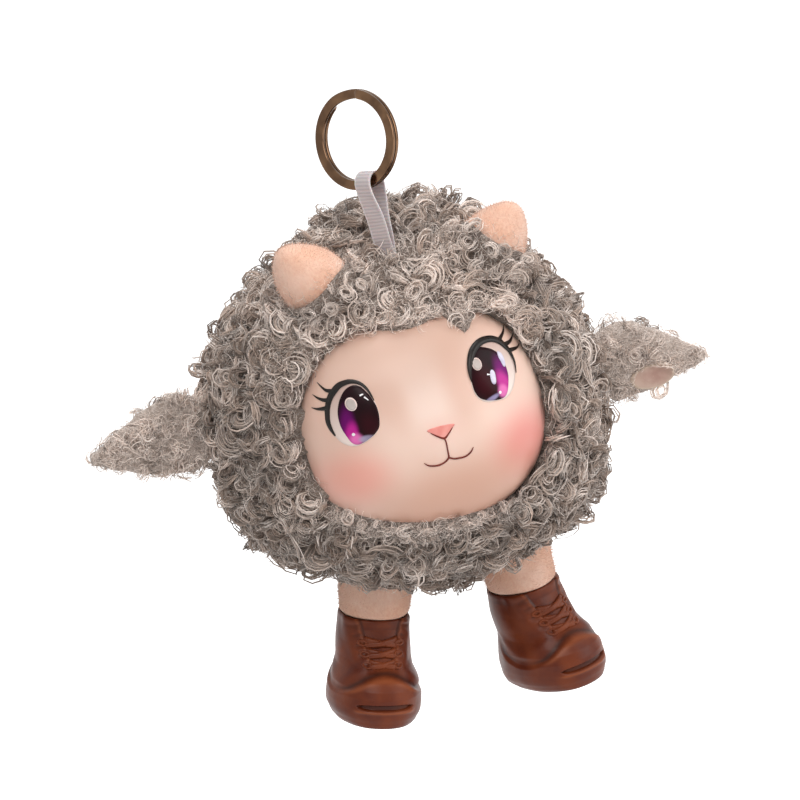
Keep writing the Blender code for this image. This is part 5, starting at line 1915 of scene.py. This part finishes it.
def plump_by_cloth(obj, cap):
    """Blows a cover up a little with cloth pressure, and holds each point within cap of its start."""
    mesh = obj.data
    start = read(mesh.vertices, "co", 3)
    cloth = obj.modifiers.new("cloth", "CLOTH")
    settings = cloth.settings
    settings.use_pressure = True
    settings.uniform_pressure_force = 4.0
    settings.mass = 0.2
    settings.effector_weights.gravity = 0.0
    cloth.point_cache.frame_start = 1
    cloth.point_cache.frame_end = CLOTH_FRAMES
    scene = bpy.context.scene
    for number in range(1, CLOTH_FRAMES + 1):
        scene.frame_set(number)
    swollen = bpy.data.meshes.new_from_object(obj.evaluated_get(bpy.context.evaluated_depsgraph_get()))
    move = read(swollen.vertices, "co", 3) - start
    obj.modifiers.remove(cloth)
    scene.frame_set(1)
    far = np.linalg.norm(move, axis=1)[:, None]
    move *= np.minimum(1.0, cap / np.maximum(far, 1e-9))
    mesh.vertices.foreach_set("co", (start + move).ravel())
    mesh.update()
    bpy.data.meshes.remove(swollen)


def plush_cover(label, node, body, profile, place, steps, wobble, turn_seed, swell, seed, low, high):
    """A stuffed cover of short plush and the nap between two heights of it."""
    obj = new_piece(
        f"{label}_cover", lofted(turned_rings(profile, place, steps, wobble, turn_seed)), None, "pink plush",
        "pink_plush", node, f"{node}_stuffing",
    )
    plump_by_cloth(obj, swell * MM)
    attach(obj, body)
    hairs = strand_forms("nap", nap_paths(seed), NAP_RADIUS, 0.4)
    spacing = sizes().nap_spacing * 1.0
    pile = grow_hair(
        obj.data, hairs, spacing, look="nap", lock_lean=0.35, lock_spin=0.6, strand_spread=0.0, strand_turn=0.25,
        seed=seed,
    )
    heights = by_strand(pile["blocks"], lambda points: seen_from(points, place)[:, 2])
    thin_pile(pile, ((heights > low) & (heights < high)).all(1))
    drop_forms(hairs)
    new_piece(f"{label}_nap", pile_mesh(pile), body, "nap", "pink_plush")


class SHEEP_OT_horns(bpy.types.Operator):
    """Sews the two blunt horns of short pink plush"""

    bl_idname = "plush_sheep.horns"
    bl_label = "Horns"

    def execute(self, context):
        for number, label in enumerate(HORNS):
            shares = round_curve(HORN_SHARES, 40, False)[:-1]
            profile = [(h * HORN_LENGTH, max(r, 0.0) * HORN_RADIUS * 0.985) for h, r in shares]
            horn = f"horn_{label}"
            plush_cover(
                horn, horn, "sheep", profile, horn_place(label), 48, 0.05, number * 5.3, 0.35, 300 + number, 1.0,
                math.inf,
            )
        return {"FINISHED"}


class SHEEP_OT_legs(bpy.types.Operator):
    """Sews the two stuffed legs of short pink plush"""

    bl_idname = "plush_sheep.legs"
    bl_label = "Legs"

    def execute(self, context):
        for number, (label, leg) in enumerate(LEGS.items()):
            ankle = leg["length"] - BOOT_HEIGHT
            turns = np.linspace(math.pi / 2 - 0.12, 0, 8)
            rows = [(LEG_RADIUS * math.sin(a), LEG_RADIUS * math.cos(a)) for a in turns]
            rows.append((-ankle / 2, 9.5))
            # Under the boot's rim the cover draws in
            for drop, radius in ((-3.0, 9.3), (-1.0, 9.15), (-0.25, 8.75), (-0.1, 7.9), (1.5, 7.5), (9.8, 7.5)):
                rows.append((-ankle - drop, radius))
            profile = round_curve(rows, 64, False)
            part = f"leg_{label}"
            plush_cover(
                part, part, part, profile, hip_place(label), 56, 0.035, 11 + number * 3.1, 0.3, 400 + number,
                0.6 - ankle, 6.0,
            )
        return {"FINISHED"}


def boot_section(height):
    """Half width, half length and middle of the boot at a share of its height."""
    length, width, toe = read_table(BOOT_SHARES, height)
    front = max(BOOT_TOE * toe, BOOT_SHAFT)
    back = min(max((BOOT_TOE + BOOT_HEEL) * length - BOOT_TOE * toe, BOOT_SHAFT), BOOT_HEEL)
    return max(BOOT_WIDTH / 2 * width, BOOT_SHAFT), (front + back) / 2, (back - front) / 2


def boot_front(x, z):
    """How far forward the boot's skin stands at a place across and up."""
    half_width, half_length, middle = boot_section(z / BOOT_HEIGHT)
    share = min(abs(x) / half_width, 0.999)
    return middle - half_length * (1 - share**BOOT_FULLNESS) ** (1 / BOOT_FULLNESS)


def boot_relief(x, y, z):
    """Moulded detail on the boot: how far it stands out, how dark its painted shade is in creases and hollows, and how
    light its edges are, partly from wear and partly painted highlight.
    """
    out, crease_shade, edge = 0.0, 0.0, 0.0
    brim = 13.6 - 0.055 * x * x + 0.16 * (y + 12.0)
    below = brim - z
    if y < 5.0:
        fade = ease((5.0 - y) / 7.0) * ease((z - 0.5) / 3.0)
        high = ease((z - 7.5) / 2.0)
        out += 0.55 * ease((below + 0.4) / 0.9) * fade
        crease_shade = max(crease_shade, bell((below + 0.55) / 0.42) * fade * high)
        edge = max(edge, bell((below - 0.55) / 0.5) * fade * high * 0.8)
        out += 0.4 * bell((below + 2.3) / 0.9) * fade * high * ease((abs(x) - 3.0) / 1.5)
    if z > 14.0 and y < -1.0:
        gap = 2.3 + 0.26 * (z - 14.0)
        flap = abs(x) - gap
        rise = ease((z - 14.0) / 1.5) * ease((-1.0 - y) / 3.0)
        out += 0.5 * ease((flap + 0.3) / 0.6) * rise * ease((5.5 - flap) / 2.5)
        crease_shade = max(crease_shade, 0.9 * bell((flap + 0.15) / 0.32) * rise)
        edge = max(edge, bell((flap - 0.5) / 0.35) * rise * 0.6)
        folds = math.sin(z * 2.6 + abs(x) * 0.9) * 0.16 * rise * ease((flap + 0.2) / 0.6) * ease((3.4 - flap) / 1.5)
        out += folds
        crease_shade = max(crease_shade, 0.4 * ease((-folds - 0.05) / 0.1))
    slot_x = abs(x) / 7.0
    bend = 5.7 - 0.1 * slot_x * slot_x
    half = 0.8 * math.sqrt(max(0.0, 1 - min(slot_x, 1.0) ** 4))
    if y < -8.0 and slot_x < 1.0:
        deep = ease((half - abs(z - bend) + 0.15) / 0.5)
        out -= 0.95 * deep
        crease_shade = max(crease_shade, 0.62 * deep)
    # Painted highlight: a light line along the lip under the slot.
    if y < -8.0 and slot_x < 1.15:
        lip = (bend - z) - 0.8 - 0.4
        shown = ease((1.15 - slot_x) / 0.25)
        out += 0.3 * bell(lip / 0.4) * shown
        edge = max(edge, bell(lip / 0.35) * shown)
    heel = bell(x / 0.45) if y > 4 and z > 8 else 0.0
    crease_shade = max(crease_shade, 0.6 * heel)
    out -= 0.25 * heel
    # Painted shade in a band under the top.
    top = 25.0 - z
    crease_shade = max(crease_shade, 0.35 * bell((top - 1.6) / 0.3))
    return out, crease_shade, edge


def tube_rows(points, radius_a, radius_b, steps=10):
    """A flattened cord through points, for the laces."""
    points = np.array(points, float)
    tangents = np.gradient(points, axis=0)
    tangents /= np.linalg.norm(tangents, axis=1)[:, None]
    turns = np.linspace(0, 2 * math.pi, steps, endpoint=False)
    rings = []
    for p, t in zip(points, tangents):
        up = np.array((0.0, -1.0, 0.15))
        up = up - t * up.dot(t)
        up /= np.linalg.norm(up)
        side = np.cross(t, up)
        rings.append([p + side * radius_a * math.cos(a) + up * radius_b * math.sin(a) for a in turns])
    return rings


class SHEEP_OT_boots(bpy.types.Operator):
    """Moulds the two boots with toe cap, tongue, flaps, laces, welt and toe slot"""

    bl_idname = "plush_sheep.boots"
    bl_label = "Boots"

    def execute(self, context):
        steps = 220
        even = [round(h, 5) for h in (*np.linspace(0, 1, 70), *np.linspace(0.2, 0.36, 34))]
        heights = sorted(set(even + [row[0] for row in BOOT_SHARES]))
        for label in LEGS:
            place = boot_place(label)
            rings, marks = [], []
            for h in heights:
                half_width, half_length, middle = boot_section(h)
                slim = 0.45 * ease((h - 0.72) / 0.25) + 0.3 * max((h - 0.97) / 0.03, 0.0) ** 2
                half_width -= slim
                half_length -= slim
                ring, row = [], []
                outline = oval_ring(half_width, half_length, BOOT_FULLNESS, steps)
                z = BOOT_HEIGHT * h
                for a, b in outline:
                    x, y = a, middle + b
                    out, crease_shade, edge = boot_relief(x, y, z)
                    wear = noise.noise(Vector((x * 0.25, y * 0.25, z * 0.25))) * 0.12
                    n = Vector((a / half_width**2, b / half_length**2, 0)).normalized()
                    ring.append((x + n.x * (out + wear), y + n.y * (out + wear), z))
                    row.append((crease_shade, edge))
                rings.append(ring)
                marks.append(row)
            for drop, inset in ((0.0, 1.0), (-0.4, 1.3), (-2.5, 1.5), (-6.0, 1.5)):
                half_width, half_length, middle = boot_section(1.0)
                outline = oval_ring(half_width - inset, half_length - inset, BOOT_FULLNESS, steps)
                rings.append([(a, middle + b, BOOT_HEIGHT + drop) for a, b in outline])
                # The inside of the boot's mouth gets painted shade.
                marks.append([(0.5 if drop < -0.5 else 0.0, 0.0)] * steps)
            verts = list(set_at(np.array(rings).reshape(-1, 3), place))
            faces = loft_faces(len(rings), steps)
            crease_shade, edge = ([mark[k] for row in marks for mark in row] for k in (0, 1))
            laces = []
            for low, high, half in ((14.6, 15.8, 3.7), (16.9, 18.3, 4.1), (19.3, 20.9, 4.5)):
                for way in (-1, 1):
                    path = []
                    for t in np.linspace(-1, 1, 13):
                        x = way * half * t
                        z = low + (high - low) * (t + 1) / 2
                        over = 0.40 + 0.35 * bell(t / 0.35) * (way > 0) - 0.8 * abs(t) ** 6
                        path.append((x, boot_front(x, z) - over, z))
                    laces.append((path, 0.85, 0.5))
            for side in (-1, 1):
                for z in (14.0, 16.4, 18.9):
                    path = []
                    for t in np.linspace(0, 2 * math.pi, 15):
                        x = side * (4.0 + (z - 14.0) * 0.17) + 1.0 * math.cos(t)
                        up = z + 1.1 + 0.6 * math.sin(t)
                        path.append((x, boot_front(x, up) - 0.5, up))
                    laces.append((path, 0.36, 0.36))
            for path, wide, thick in laces:
                rows = np.array(tube_rows(path, wide, thick))
                faces += [tuple(len(verts) + v for v in face) for face in loft_faces(*rows.shape[:2])]
                verts.extend(set_at(rows.reshape(-1, 3), place))
                crease_shade += [0.0] * (rows.size // 3)
                edge += [0.25] * (rows.size // 3)
            mesh = mesh_from(np.array(verts), faces)
            mark(mesh, "crease_shade", crease_shade)
            mark(mesh, "edge", edge)
            face_outwards(mesh, merge=False)
            new_piece(f"boot_{label}_shell", mesh, f"leg_{label}", "boot", "boot_vinyl", f"boot_{label}")
        return {"FINISHED"}


def white_to_camera(name, colour, glow):
    """A pale matt stage finish that a camera, a mirror and glass see as white, with the object's shadow kept."""
    s = Shader(name, roughness=0.9, specular_ior_level=0.0, emission_color=(1, 1, 1, 1))
    s.colour(s.mix(s.fit(s.noise(s.place(), 3.0, 2.0), 0.3, 0.7, 0.0, 0.05), colour, dim(colour, 0.94)))
    s.put(s.surface.inputs["Emission Strength"], s.math("MULTIPLY", s.seen_white(), glow))
    return s.material


def area_light(name, place, size, power, colour):
    """A round soft lamp that looks at the ball."""
    light = bpy.data.lights.new(name, "AREA")
    light.shape = "DISK"
    light.size = size
    light.energy = power
    light.color = colour
    obj = bpy.data.objects.new(name, light)
    bpy.context.scene.collection.objects.link(obj)
    obj.location = place
    obj.rotation_euler = (BALL_CENTRE - Vector(place)).to_track_quat("-Z", "Y").to_euler()


class SHEEP_OT_stage(bpy.types.Operator):
    """Sets the floor, the soft light and the camera"""

    bl_idname = "plush_sheep.stage"
    bl_label = "Stage"

    def execute(self, context):
        scene = context.scene
        low = CAD_BOX[0].z - sizes().floor_drop
        half = FLOOR_HALF
        verts = [(-half, -half, low), (half, -half, low), (half, half, low), (-half, half, low)]
        floor = bpy.data.objects.new("floor", mesh_from(np.array(verts), [(0, 1, 2, 3)], False))
        scene.collection.objects.link(floor)
        floor.data.materials.append(white_to_camera("pale floor", (0.80, 0.80, 0.80), 0.85))

        world = bpy.data.worlds.new("soft room")
        scene.world = world
        world.use_nodes = True
        n = Nodes(world.node_tree)
        sky = n.tree.nodes["Background"].inputs
        n.put(sky[0], (1.0, 0.99, 0.98))
        n.put(sky[1], n.fit(n.seen_white(), 0.0, 1.0, ROOM_LIGHT, 1.0))
        for light in LIGHTS:
            area_light(*light)

        yaw, rise, roll = (math.radians(turn) for turn in CAMERA_TURNS)
        ahead = Vector((math.sin(yaw), math.cos(yaw), 0))
        right = Vector((math.cos(yaw), -math.sin(yaw), 0))
        look = ahead * math.cos(rise) - Vector((0, 0, math.sin(rise)))
        up = ahead * math.sin(rise) + Vector((0, 0, math.cos(rise)))
        side = right * math.cos(roll) - up * math.sin(roll)
        over = right * math.sin(roll) + up * math.cos(roll)
        target = BALL_CENTRE + (over - side * 4) * FRAME_WIDTH / 800
        data = bpy.data.cameras.new("camera")
        data.sensor_width = 36
        data.lens = data.sensor_width * CAMERA_DISTANCE / FRAME_WIDTH
        camera = bpy.data.objects.new("camera", data)
        scene.collection.objects.link(camera)
        turned = Matrix((side, over, -look)).transposed().to_4x4()
        camera.matrix_world = Matrix.Translation(target - look * CAMERA_DISTANCE) @ turned
        scene.camera = camera
        scene.view_settings.view_transform = "Standard"
        return {"FINISHED"}


OPERATORS = (
    SHEEP_OT_key_ring,
    SHEEP_OT_ribbon,
    SHEEP_OT_fur,
    SHEEP_OT_ears,
    SHEEP_OT_face,
    SHEEP_OT_eyes,
    SHEEP_OT_horns,
    SHEEP_OT_legs,
    SHEEP_OT_boots,
    SHEEP_OT_stage,
)


class SHEEP_PT_panel(bpy.types.Panel):
    bl_idname = "SHEEP_PT_panel"
    bl_label = "Plush sheep"
    bl_space_type = "VIEW_3D"
    bl_region_type = "UI"
    bl_category = "Sheep"

    def draw(self, context):
        for group in (context.scene.sheep_sizes, context.scene.sheep_colours):
            for name in group.bl_rna.properties.keys():
                if name not in ("rna_type", "name"):
                    self.layout.prop(group, name)
        for operator in OPERATORS:
            self.layout.operator(operator.bl_idname)


CLASSES = (SheepSizes, SheepColours) + OPERATORS + (SHEEP_PT_panel,)


def register():
    for item in CLASSES:
        bpy.utils.register_class(item)
    bpy.types.Scene.sheep_sizes = bpy.props.PointerProperty(type=SheepSizes)
    bpy.types.Scene.sheep_colours = bpy.props.PointerProperty(type=SheepColours)


def unregister():
    del bpy.types.Scene.sheep_colours
    del bpy.types.Scene.sheep_sizes
    for item in reversed(CLASSES):
        bpy.utils.unregister_class(item)


def main():
    register()
    for operator in OPERATORS:
        group, name = operator.bl_idname.split(".")
        getattr(getattr(bpy.ops, group), name)()


if __name__ == "__main__":
    main()
